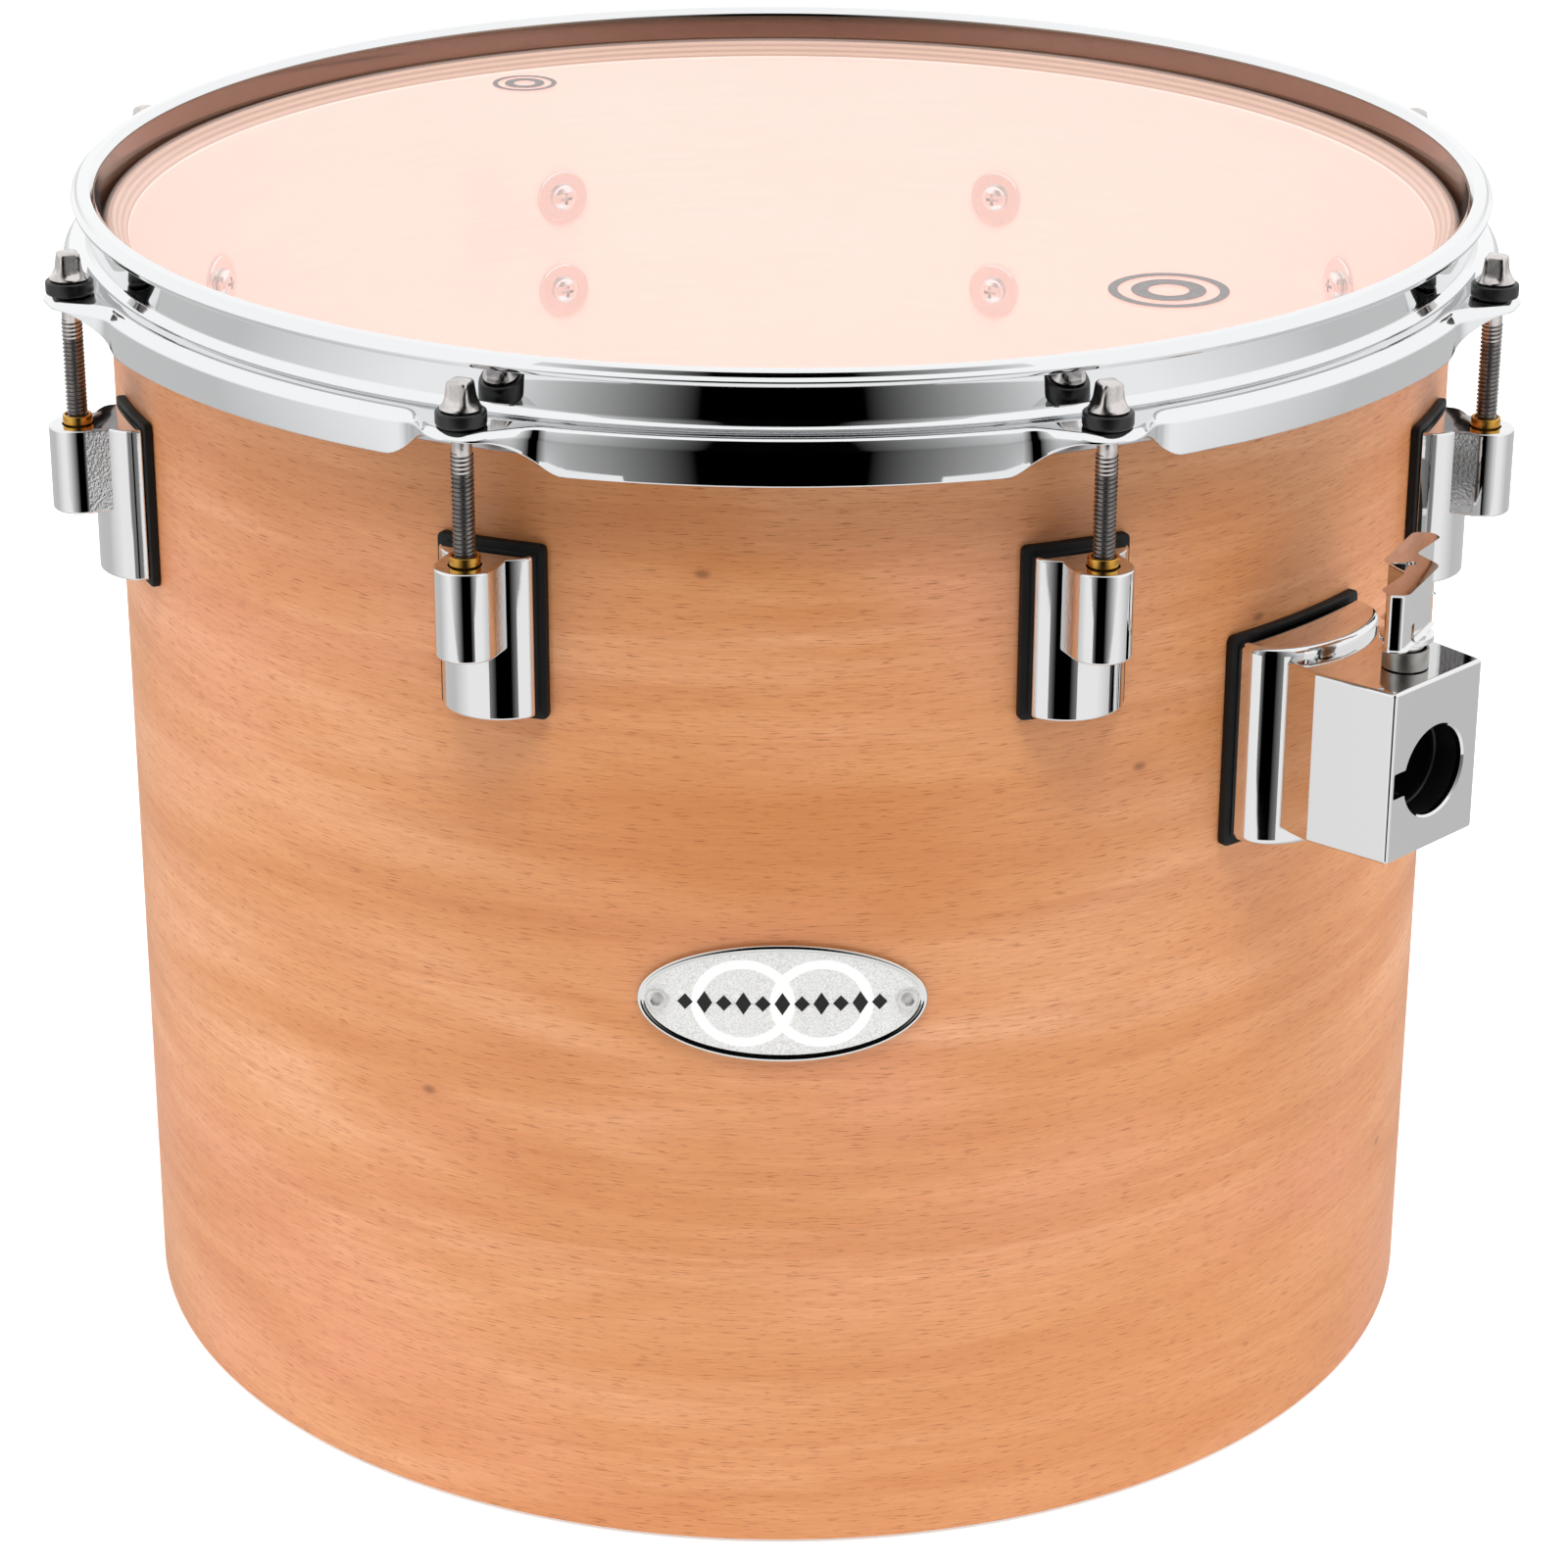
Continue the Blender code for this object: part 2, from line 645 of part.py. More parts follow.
def build_bracket(parts, helpers):
    """The tube bracket: rubber pad, casting, bore liner, collar, shoe, screw and mounting screws."""
    half = 24.4 * MM / SHELL_R * 180.0 / pi
    pad = curved_pad("bracket_pad", half, 178.2 * MM, 233.6 * MM, 2.0 * MM, PAD_THICKNESS,
                     [-4.5, 0.0, 4.5], parts, RUBBER)
    bm = bmesh.new()
    rod_between(bm, (0.0, -SHELL_R + 3 * MM, BORE_Z), (0.0, -SHELL_R - 8 * MM, BORE_Z),
                LINER_R + GAP + 0.2 * MM, 24)
    for x, z in MOUNT_SCREWS:
        rod_between(bm, (x, -SHELL_R + 5 * MM, z), (x, -SHELL_R - 8 * MM, z), 2.7 * MM, 8)
    boolean(pad, cutter("bracket_pad_drills", bm, helpers), "DIFFERENCE", "drill")
    place(baked(pad), BRACKET_AZIMUTH)

    mesh, nose = bracket_solid(helpers)
    body = object_of("bracket_body", mesh, parts, CHROME_CASTING)
    boolean(body, nose, "UNION", "nose")
    for number, hole in enumerate(bracket_drills(helpers), 1):
        boolean(body, hole, "DIFFERENCE", f"drill_{number}")
    place(baked(body), BRACKET_AZIMUTH)
    for obj in (build_liner(parts, helpers), build_collar(parts), build_shoe(parts),
                build_wing_bolt(parts, helpers)):
        place(obj, BRACKET_AZIMUTH)
    build_mount_screws(parts)


def build_liner(parts, helpers):
    """The black liner of the receiver bore, slotted for a key and open for the shoe."""
    start, end = SHELL_R - SHELL_WALL, SHELL_R + BOX_FRONT - 1.9 * MM
    bm = bmesh.new()
    rod_between(bm, (0.0, -start, BORE_Z), (0.0, -end, BORE_Z), LINER_R, 24)
    liner = object_of("receiver_liner", mesh_of("receiver_liner", bm), parts, LINER)
    bm = bmesh.new()
    rod_between(bm, (0.0, -start + 4 * MM, BORE_Z), (0.0, -end - 4 * MM, BORE_Z), BORE_R, 24)
    boolean(liner, cutter("liner_bore", bm, helpers), "DIFFERENCE", "bore")
    bm = bmesh.new()
    key_end = SHELL_R + BOX_FRONT - 24 * MM
    slot = [(-16 * MM, -end - 3 * MM), (-4 * MM, -end - 3 * MM), (-4 * MM, -key_end), (-16 * MM, -key_end)]
    prism(bm, slot, BORE_Z - 3.3 * MM, BORE_Z + 3.3 * MM)
    boolean(liner, cutter("liner_key_slot", bm, helpers), "DIFFERENCE", "slot")
    bm = bmesh.new()
    prism(bm, disc(5.2 * MM, 12, (0.0, -(SHELL_R + CLAMP_RADIAL))), BORE_Z + 3 * MM, BORE_Z + 20 * MM)
    boolean(liner, cutter("liner_window", bm, helpers), "DIFFERENCE", "window")
    return baked(liner)


def build_collar(parts):
    """The plain collar that guides the clamp screw on top of the bracket."""
    profile = [
        (COLLAR_BORE_R, COLLAR_TOP),
        (COLLAR_R - 0.2 * MM, COLLAR_TOP),
        (COLLAR_R, COLLAR_TOP - 0.3 * MM),
        (COLLAR_R, BOX_TOP + GAP),
        (COLLAR_BORE_R, BOX_TOP + GAP),
    ]
    collar = baked(closed_profile("clamp_collar", profile, parts, COLLAR_STEEL, 16))
    return offset_origin(collar)


def offset_origin(obj):
    """Moves a piece that was built about Z on to the clamp screw's axis."""
    angle = radians(BRACKET_AZIMUTH)
    radius = SHELL_R + CLAMP_RADIAL
    obj.location = (radius * sin(angle), -radius * cos(angle), 0.0)
    return obj


def build_shoe(parts):
    """The shoe that the clamp screw presses on the tube."""
    bm = bmesh.new()
    prism(bm, disc(4.6 * MM, 12), BORE_Z + BORE_R + 0.3 * MM, BORE_Z + BORE_R + 3.6 * MM)
    return offset_origin(object_of("clamp_shoe", mesh_of("clamp_shoe", bm), parts, SHOE))


def build_wing_bolt(parts, helpers):
    """The clamp screw: two offset wings on a faceted hub, over a flange, neck and shank."""
    tip = BORE_Z + BORE_R + 3.6 * MM + GAP
    profile = [
        (0.0, 252.0 * MM),
        (4.4 * MM, 252.0 * MM),
        (4.8 * MM, 238.6 * MM),
        (6.6 * MM, 237.6 * MM),
        (6.6 * MM, 236.1 * MM),
        (CLAMP_NECK_R, 236.1 * MM),
        (CLAMP_NECK_R, 231.4 * MM),
        (CLAMP_SHANK_R, 231.4 * MM),
        (CLAMP_SHANK_R, tip + 0.8 * MM),
        (CLAMP_SHANK_R - 0.8 * MM, tip),
        (0.0, tip),
    ]
    bolt = closed_profile("wing_bolt", profile, parts, CHROME_CASTING, 12)
    low, high = 238.4 * MM, 255.2 * MM
    plan = [(-19.6, 8.9), (-18.6, 11.6), (-16.6, 11.9), (1.6, 5.4), (4.2, 3.0), (6.4, -4.3),
            (18.2, -7.4), (19.6, -8.9), (18.6, -11.6), (16.6, -11.9), (-1.6, -5.4), (-4.2, -3.0),
            (-6.4, 4.3), (-18.2, 7.4)]
    bm = bmesh.new()
    prism(bm, [(x * MM, -y * MM) for x, y in plan][::-1], low, high)
    boolean(bolt, cutter("wing_plan", bm, helpers), "UNION", "wings")
    bm = bmesh.new()
    prism(bm, disc(3.4 * MM, 12), 252.3 * MM, 260.0 * MM)
    boolean(bolt, cutter("wing_socket", bm, helpers), "DIFFERENCE", "socket")
    return offset_origin(baked(bolt))


def build_mount_screws(parts):
    """The screws that hold the bracket from inside the shell."""
    inner = SHELL_R - SHELL_WALL
    for number, (x, z) in enumerate(MOUNT_SCREWS, 1):
        seat = sqrt(inner * inner - x * x) - 1.0 * MM
        name = f"bracket_screw_{number}"
        screw = object_of(name, screw_mesh(name, x, z, seat), parts, CHROME_SMALL)
        place(screw, BRACKET_AZIMUTH)


def screw_mesh(name, x, z, seat):
    """Returns a pan-head screw along Y as one stepped solid."""
    rings = (
        (seat - 3.2 * MM, 3.4 * MM),
        (seat - 2.2 * MM, 4.6 * MM),
        (seat, 4.6 * MM),
        (seat, 2.2 * MM),
        (SHELL_R + 5.8 * MM, 2.2 * MM),
    )
    return stepped_mesh(name, x, z, rings, 12)


def stepped_mesh(name, x, z, rings, count):
    """Returns a solid of rings along -Y, each (distance, radius), closed at both ends."""
    bm = bmesh.new()
    loops = []
    for distance, radius in rings:
        loops.append([bm.verts.new((x + a, -distance, z + b)) for a, b in disc(radius, count)])
    bm.faces.new(loops[0])
    bm.faces.new(loops[-1][::-1])
    for near, far in zip(loops, loops[1:]):
        for i in range(count):
            j = (i + 1) % count
            bm.faces.new((near[i], far[i], far[j], near[j]))
    return mesh_of(name, bm)


def build_badge(parts, helpers):
    """The oval badge bent round the shell, and its two screws."""
    radius = SHELL_R + GAP
    bm = bmesh.new()
    azimuths = [-11.25, -10.4, -9.0, -6.8, -4.5, -2.25, 0.0, 2.25, 4.5, 6.8, 9.0, 10.4, 11.25]
    strips = []
    for azimuth in azimuths:
        half = BADGE_HALF_HEIGHT * sqrt(1.0 - (azimuth / BADGE_HALF_AZIMUTH) ** 2)
        x, y = radius * sin(radians(azimuth)), -radius * cos(radians(azimuth))
        low = bm.verts.new((x, y, BADGE_Z - half))
        strips.append((low, bm.verts.new((x, y, BADGE_Z + half))))
    for left, right in zip(strips, strips[1:]):
        bm.faces.new((left[0], right[0], right[1], left[1]))
    mesh = bpy.data.meshes.new("badge")
    bm.to_mesh(mesh)
    bm.free()
    badge = object_of("badge", mesh, parts, PLATE)
    thicken(badge, BADGE_THICKNESS)
    bm = bmesh.new()
    for side in (-1, 1):
        holes = [(0.0, BADGE_Z, 1.5 * MM, 8)]
        turned_holes(bm, side * BADGE_SCREW_AZIMUTH, holes, (SHELL_R - 3 * MM, SHELL_R + 6 * MM))
    boolean(badge, cutter("badge_drills", bm, helpers), "DIFFERENCE", "drill")
    face = SHELL_R + GAP + BADGE_THICKNESS + GAP
    rings = (
        (SHELL_R - 4.5 * MM, 0.5 * MM),
        (SHELL_R - 3.2 * MM, 1.1 * MM),
        (face, 1.1 * MM),
        (face, 2.65 * MM),
        (face + 0.7 * MM, 2.5 * MM),
        (face + 1.3 * MM, 1.5 * MM),
    )
    for number, side in enumerate((-1, 1), 1):
        name = f"badge_screw_{number}"
        screw = object_of(name, stepped_mesh(name, 0.0, BADGE_Z, rings, 12), parts, CHROME_SMALL)
        place(screw, side * BADGE_SCREW_AZIMUTH)


def main():
    """Builds every piece of the drum."""
    clear_scene()
    parts = new_collection(OBJECT_NAME)
    helpers = new_collection("cutters")
    build_shell(parts, helpers)
    build_hoop(parts, helpers)
    build_head(parts)
    build_lugs(parts, helpers)
    build_bracket(parts, helpers)
    build_badge(parts, helpers)


main()
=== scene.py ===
"""Looks of the concert tom: a satin wooden shell, a clear head and polished chrome hardware.

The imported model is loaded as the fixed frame, and each sub-assembly is a class that builds its
detailed pieces round it. Lengths are metres and +Z is up. Every sub-assembly is drawn at the
front of the drum, where +X runs sideways and -Y points outwards, and is then turned about Z to
its azimuth, which is 0 degrees towards -Y and grows towards +X.
"""

from __future__ import annotations

import json
import logging
from dataclasses import dataclass, field
from enum import Enum
from functools import partial
from math import atan2, ceil, cos, hypot, pi, radians, sin, sqrt
from typing import Callable

import bmesh
import bpy
from bmesh.types import BMesh
from bpy.types import Material, Mesh, Node, NodeSocket, NodeTree, Object
from mathutils import Matrix, Vector

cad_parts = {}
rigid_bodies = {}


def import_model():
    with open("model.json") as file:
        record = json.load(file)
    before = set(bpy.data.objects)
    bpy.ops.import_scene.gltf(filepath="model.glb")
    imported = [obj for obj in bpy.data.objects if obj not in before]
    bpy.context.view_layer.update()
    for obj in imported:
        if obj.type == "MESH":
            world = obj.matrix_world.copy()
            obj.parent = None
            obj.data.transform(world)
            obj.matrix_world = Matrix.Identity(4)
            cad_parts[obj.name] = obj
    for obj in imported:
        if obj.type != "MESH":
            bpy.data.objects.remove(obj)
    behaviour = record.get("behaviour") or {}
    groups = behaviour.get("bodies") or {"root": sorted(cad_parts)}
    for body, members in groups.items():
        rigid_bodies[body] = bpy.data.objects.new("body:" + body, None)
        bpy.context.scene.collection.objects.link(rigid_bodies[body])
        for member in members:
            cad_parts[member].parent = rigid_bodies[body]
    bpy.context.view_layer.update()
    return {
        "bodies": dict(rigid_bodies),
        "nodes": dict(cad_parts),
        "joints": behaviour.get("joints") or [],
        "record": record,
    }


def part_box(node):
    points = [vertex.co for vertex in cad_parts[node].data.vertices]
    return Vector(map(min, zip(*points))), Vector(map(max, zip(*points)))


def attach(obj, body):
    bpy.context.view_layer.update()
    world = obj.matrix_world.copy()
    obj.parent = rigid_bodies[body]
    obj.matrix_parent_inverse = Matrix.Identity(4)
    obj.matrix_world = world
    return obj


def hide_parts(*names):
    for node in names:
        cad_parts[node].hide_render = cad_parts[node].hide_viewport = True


MM = 0.001
MM_PER_M = 1000.0
SHARP_ANGLE = radians(38.0)

log = logging.getLogger("concert_tom")

Pair = tuple[float, float]
Point = tuple[float, float, float]
Section = list[Pair]

# The kinds of node that are used most.
MATH = "ShaderNodeMath"
MIX = "ShaderNodeMix"
RANGE = "ShaderNodeMapRange"


class Body(Enum):
    """The bodies of the frame that a piece can ride on, apart from the tension rods."""

    DRUM = "drum"
    HOOP = "hoop"
    WING = "wing"


class Slot(Enum):
    """The material slots of the record."""

    WOOD = "wood_satin"
    HOOP = "hoop_chrome"
    CAST = "cast_chrome"
    ROD = "rod_steel"
    COLLAR = "collar_steel"
    BRASS = "brass"
    RUBBER = "rubber"
    NYLON = "nylon"
    FILM = "film"
    FLESH = "flesh_alloy"
    PLATE = "badge_plate"
    SCREW = "screw_chrome"


class Recess(Enum):
    """The driver recess of a screw head."""

    CROSS = "cross"
    HEX = "hex"


# ---------------------------------------------------------------------------------------------
# Node helpers
# ---------------------------------------------------------------------------------------------


def linear(colour: str) -> tuple[float, float, float, float]:
    """Turns an sRGB hex colour to linear.

    Args:
        colour: The colour as six hex digits after a #.

    Returns:
        The linear red, green and blue, with an alpha of 1.
    """
    parts = [int(colour[i:i + 2], 16) / 255 for i in (1, 3, 5)]
    lin = [c / 12.92 if c <= 0.04045 else ((c + 0.055) / 1.055) ** 2.4 for c in parts]
    return (lin[0], lin[1], lin[2], 1.0)


def add_node(
    tree: NodeTree,
    kind: str,
    inputs: dict[str | int, object] | None = None,
    out: str | int = 0,
    **settings: object,
) -> NodeSocket | None:
    """Adds one node to a tree, with its settings and links.

    Args:
        tree: The shader or geometry tree.
        kind: The node's Blender type.
        inputs: A socket to link, or a plain value, for each input by its name or index.
        out: The name or index of the output that is wanted.
        settings: The node's own properties.

    Returns:
        That output, if the node has any.
    """
    node = tree.nodes.new(kind)
    for name, value in settings.items():
        setattr(node, name, value)
    for key, value in (inputs or {}).items():
        if isinstance(value, NodeSocket):
            tree.links.new(value, node.inputs[key])
        else:
            node.inputs[key].default_value = value
    return node.outputs[out] if node.outputs else None


def ramp_stops(ramp: NodeSocket, stops: list[tuple[float, str]]) -> NodeSocket:
    """Sets the stops of a colour ramp.

    Args:
        ramp: The ramp's colour output.
        stops: The place and the hex colour of each stop, in order.

    Returns:
        The same output.
    """
    elements = ramp.node.color_ramp.elements
    while len(elements) < len(stops):
        elements.new(0.5)
    for element, (place, colour) in zip(elements, stops):
        element.position = place
        element.color = linear(colour)
    return ramp


# ---------------------------------------------------------------------------------------------
# Finishes
# ---------------------------------------------------------------------------------------------


@dataclass(frozen=True)
class Finish:
    """A real material with the surface that its making left."""

    name: str
    colour: str
    roughness: float

    def material(self) -> Material:
        """Returns the material, made on its first use."""
        found = bpy.data.materials.get(self.name)
        if found:
            return found
        made = bpy.data.materials.new(self.name)
        made.use_nodes = True
        tree = made.node_tree
        shader = tree.nodes["Principled BSDF"]
        shader.inputs["Base Color"].default_value = linear(self.colour)
        shader.inputs["Roughness"].default_value = self.roughness
        made.diffuse_color = linear(self.colour)
        self.shade(tree, shader)
        return made

    def shade(self, tree: NodeTree, shader: Node) -> None:
        """Adds what is special to this finish.

        Args:
            tree: The material's node tree.
            shader: Its Principled node.
        """
        raise NotImplementedError


def place_of(tree: NodeTree) -> NodeSocket:
    """Returns the object coordinates in a shader tree."""
    return add_node(tree, "ShaderNodeTexCoord", out="Object")


def round_shell_place(tree: NodeTree, radius: float) -> tuple[NodeSocket, ...]:
    """Unrolls the object coordinates round the drum's axis.

    Args:
        tree: The shader tree.
        radius: The radius at which the arc length is measured.

    Returns:
        The unrolled position, with the arc length in X and the height in Y, and the radius.
    """
    parts = add_node(tree, "ShaderNodeSeparateXYZ", {0: place_of(tree)}).node.outputs
    back = add_node(tree, MATH, {0: parts["Y"], 1: -1.0}, operation="MULTIPLY")
    angle = add_node(tree, MATH, {0: parts["X"], 1: back}, operation="ARCTAN2")
    arc = add_node(tree, MATH, {0: angle, 1: radius}, operation="MULTIPLY")
    flat = add_node(tree, "ShaderNodeCombineXYZ", {"X": arc, "Y": parts["Z"]})
    plan = add_node(tree, "ShaderNodeCombineXYZ", {"X": parts["X"], "Y": parts["Y"]})
    reach = add_node(tree, "ShaderNodeVectorMath", {0: plan}, "Value", operation="LENGTH")
    return flat, reach


def stretched_noise(
    tree: NodeTree,
    place: NodeSocket,
    along_mm: float,
    across_mm: float,
    **inputs: float,
) -> NodeSocket:
    """Adds noise whose features are long in X and short in Y.

    Args:
        tree: The shader tree.
        place: The position that the noise reads, in metres.
        along_mm: The length of a feature.
        across_mm: The width of a feature.
        inputs: Detail, Roughness and Distortion of the noise.

    Returns:
        The noise from 0 to 1.
    """
    scale = (MM_PER_M / along_mm, MM_PER_M / across_mm, MM_PER_M / across_mm)
    spread = add_node(tree, "ShaderNodeMapping", {"Vector": place, "Scale": scale})
    sockets = {"Vector": spread, "Scale": 1.0, **inputs}
    return add_node(tree, "ShaderNodeTexNoise", sockets, "Fac")


@dataclass(frozen=True)
class SatinVeneer(Finish):
    """Rotary-cut veneer under a satin lacquer: fine short pores, and soft bands of figure."""

    outer_radius: float = 177.8 * MM
    wall: float = 6.0 * MM

    def shade(self, tree: NodeTree, shader: Node) -> None:
        """Adds figure, pores, knots, plies on the edge and a paler face inside."""
        flat, reach = round_shell_place(tree, self.outer_radius)
        # The figure of rotary-cut veneer: bands 15 to 40 mm tall that wander round the shell.
        swell = stretched_noise(tree, flat, 210.0, 34.0, Detail=3.0, Roughness=0.52, Distortion=1.3)
        bands = ramp_stops(add_node(tree, "ShaderNodeValToRGB", {0: swell}), [
            (0.30, "#CA824A"), (0.45, "#D28E57"), (0.56, "#D99865"), (0.72, "#E2A679")])
        # Growth lines: thin darker contours that follow the same bands.
        rings = stretched_noise(tree, flat, 260.0, 11.0, Detail=4.0, Roughness=0.6, Distortion=0.8)
        lines = add_node(tree, RANGE, {0: rings, 1: 0.50, 2: 0.66, 4: 0.42})
        figure = add_node(tree, MIX, {0: lines, 6: bands, 7: linear("#BE743F")}, 2, data_type="RGBA")
        # A rosy cast in broad patches, as birch and maple faces have.
        blush = stretched_noise(tree, flat, 150.0, 90.0, Detail=2.0, Roughness=0.5)
        rosy = add_node(tree, RANGE, {0: blush, 1: 0.48, 2: 0.68, 4: 0.45})
        figure = add_node(tree, MIX, {0: rosy, 6: figure, 7: linear("#E69E80")}, 2, data_type="RGBA")
        # Pores are 0.1 mm wide and 2 to 6 mm long, and are drawn 0.35 mm wide so that they show.
        pores = stretched_noise(tree, flat, 5.5, 0.42, Detail=2.0, Roughness=0.55)
        dark = add_node(tree, RANGE, {0: pores, 1: 0.58, 2: 0.68})
        fibre = stretched_noise(tree, flat, 9.0, 0.24, Detail=2.0, Roughness=0.6)
        figure = add_node(tree, MIX, {0: add_node(tree, RANGE, {0: fibre, 1: 0.42, 2: 0.70, 4: 0.42}),
                    6: figure, 7: linear("#B8703A")}, 2, data_type="RGBA")
        fleck = add_node(tree, MIX, {0: add_node(tree, RANGE, {0: dark, 4: 0.62}), 6: figure,
                    7: linear("#91491D")}, 2, data_type="RGBA")
        streak = stretched_noise(tree, flat, 38.0, 1.3, Detail=3.0, Roughness=0.6)
        outer = add_node(tree, MIX, {0: add_node(tree, RANGE, {0: streak, 1: 0.35, 2: 0.75, 4: 0.26}),
                    6: fleck, 7: linear("#B96C35")}, 2, data_type="RGBA")
        outer = self.knots(tree, flat, outer)
        # The face inside is bare and paler.
        inner = add_node(tree, MIX, {0: add_node(tree, RANGE, {0: streak, 1: 0.3, 2: 0.8, 4: 0.5}),
                    6: linear("#F6D2C8"), 7: linear("#EEC3B6")}, 2, data_type="RGBA")
        depth = add_node(tree, MATH, {0: reach, 1: MM_PER_M}, operation="MULTIPLY")
        edge = self.plies(tree, depth)
        low = (self.outer_radius - self.wall) * MM_PER_M + 0.25
        high = self.outer_radius * MM_PER_M - 0.35
        colour = add_node(tree, MIX, {0: add_node(tree, RANGE, {0: depth, 1: low, 2: low + 0.1}), 6: inner,
                    7: edge}, 2, data_type="RGBA")
        colour = add_node(tree, MIX, {0: add_node(tree, RANGE, {0: depth, 1: high, 2: high + 0.1}),
                    6: colour, 7: outer}, 2, data_type="RGBA")
        tree.links.new(colour, shader.inputs["Base Color"])
        rough = add_node(tree, RANGE, {0: streak, 1: 0.3, 2: 0.7, 3: self.roughness - 0.04,
                    4: self.roughness + 0.05})
        tree.links.new(rough, shader.inputs["Roughness"])
        shader.inputs["Specular IOR Level"].default_value = 0.5
        shader.inputs["IOR"].default_value = 1.5
        relief = add_node(tree, "ShaderNodeBump", {"Height": dark, "Strength": 0.10, "Distance": 0.00006},
                invert=True)
        tree.links.new(relief, shader.inputs["Normal"])

    def plies(self, tree: NodeTree, depth: NodeSocket) -> NodeSocket:
        """Adds the plies of the cut edge, 0.65 mm each, by turns pale and brown.

        Args:
            tree: The shader tree.
            depth: The radius in millimetres.

        Returns:
            The colour of the edge.
        """
        turn = add_node(tree, MATH, {0: depth, 1: 0.65}, operation="PINGPONG")
        share = add_node(tree, RANGE, {0: turn, 1: 0.2, 2: 0.45})
        return add_node(tree, MIX, {0: share, 6: linear("#B4917A"), 7: linear("#937059")}, 2,
                data_type="RGBA")

    def knots(self, tree: NodeTree, flat: NodeSocket,
              colour: NodeSocket) -> NodeSocket:
        """Adds a few pin knots, each a brown eye in a faint halo.

        Args:
            tree: The shader tree.
            flat: The unrolled position.
            colour: The colour round them.

        Returns:
            The colour with the knots in it.
        """
        places = ((90.0, 205.0), (126.0, 236.0), (-92.0, 117.0), (-19.0, 262.0), (-250.0, 90.0),
                  (300.0, 180.0), (-420.0, 210.0), (205.0, 60.0))
        for arc, height in places:
            near = add_node(tree, "ShaderNodeMapping",
                    {"Vector": flat, "Location": (-arc * MM * 600, -height * MM * 1000, 0.0),
                     "Scale": (600.0, 1000.0, 1000.0)})
            away = add_node(tree, "ShaderNodeVectorMath", {0: near}, "Value", operation="LENGTH")
            halo = add_node(tree, RANGE, {0: away, 1: 6.0, 4: 0.28})
            colour = add_node(tree, MIX, {0: halo, 6: colour, 7: linear("#B9703C")}, 2, data_type="RGBA")
            eye = add_node(tree, RANGE, {0: away, 1: 1.5, 2: 0.5, 4: 0.55})
            colour = add_node(tree, MIX, {0: eye, 6: colour, 7: linear("#6E3A18")}, 2, data_type="RGBA")
        return colour


@dataclass(frozen=True)
class ChromePlate(Finish):
    """Bright chrome over polished metal: a mirror with the faint waves that polishing leaves."""

    wave_mm: float = 30.0
    wave_height: float = 0.00001
    grit_mm: float = 0.0
    grit_height: float = 0.0
    smear: float = 0.02

    def shade(self, tree: NodeTree, shader: Node) -> None:
        """Adds slow waves, an optional cast grain, and a little unevenness of gloss."""
        shader.inputs["Metallic"].default_value = 1.0
        place = place_of(tree)
        wave = stretched_noise(tree, place, self.wave_mm, self.wave_mm, Detail=1.0, Roughness=0.4)
        relief = add_node(tree, "ShaderNodeBump",
                {"Height": wave, "Strength": 1.0, "Distance": self.wave_height})
        if self.grit_mm:
            grain = stretched_noise(tree, place, self.grit_mm, self.grit_mm, Detail=2.0, Roughness=0.6)
            relief = add_node(tree, "ShaderNodeBump",
                    {"Height": grain, "Strength": 1.0, "Distance": self.grit_height, "Normal": relief})
        tree.links.new(relief, shader.inputs["Normal"])
        smear = stretched_noise(tree, place, 14.0, 14.0, Detail=2.0, Roughness=0.5)
        rough = add_node(tree, RANGE, {0: smear, 1: 0.4, 2: 0.75, 3: self.roughness,
                    4: self.roughness + self.smear})
        tree.links.new(rough, shader.inputs["Roughness"])


@dataclass(frozen=True)
class WorkedMetal(Finish):
    """Bare or plated metal that a tool has worked: turned, rolled or blasted, so softly bright."""

    grain_mm: Pair = (0.6, 0.6)
    grain_height: float = 0.00001
    shade_colour: str = "#808080"
    shade_share: float = 0.4
    metallic: float = 1.0
    patch_mm: float = 4.0

    def shade(self, tree: NodeTree, shader: Node) -> None:
        """Adds tool marks and duller patches."""
        shader.inputs["Metallic"].default_value = self.metallic
        place = place_of(tree)
        marks = stretched_noise(tree, place, *self.grain_mm, Detail=2.0, Roughness=0.55)
        relief = add_node(tree, "ShaderNodeBump",
                {"Height": marks, "Strength": 1.0, "Distance": self.grain_height})
        tree.links.new(relief, shader.inputs["Normal"])
        dull = stretched_noise(tree, place, self.patch_mm, self.patch_mm, Detail=3.0, Roughness=0.6)
        share = add_node(tree, RANGE, {0: dull, 1: 0.4, 2: 0.7, 4: self.shade_share})
        colour = add_node(tree, MIX, {0: share, 6: linear(self.colour), 7: linear(self.shade_colour)}, 2,
                data_type="RGBA")
        tree.links.new(colour, shader.inputs["Base Color"])
        rough = add_node(tree, RANGE, {0: dull, 1: 0.35, 2: 0.7, 3: self.roughness,
                    4: self.roughness + 0.1})
        tree.links.new(rough, shader.inputs["Roughness"])


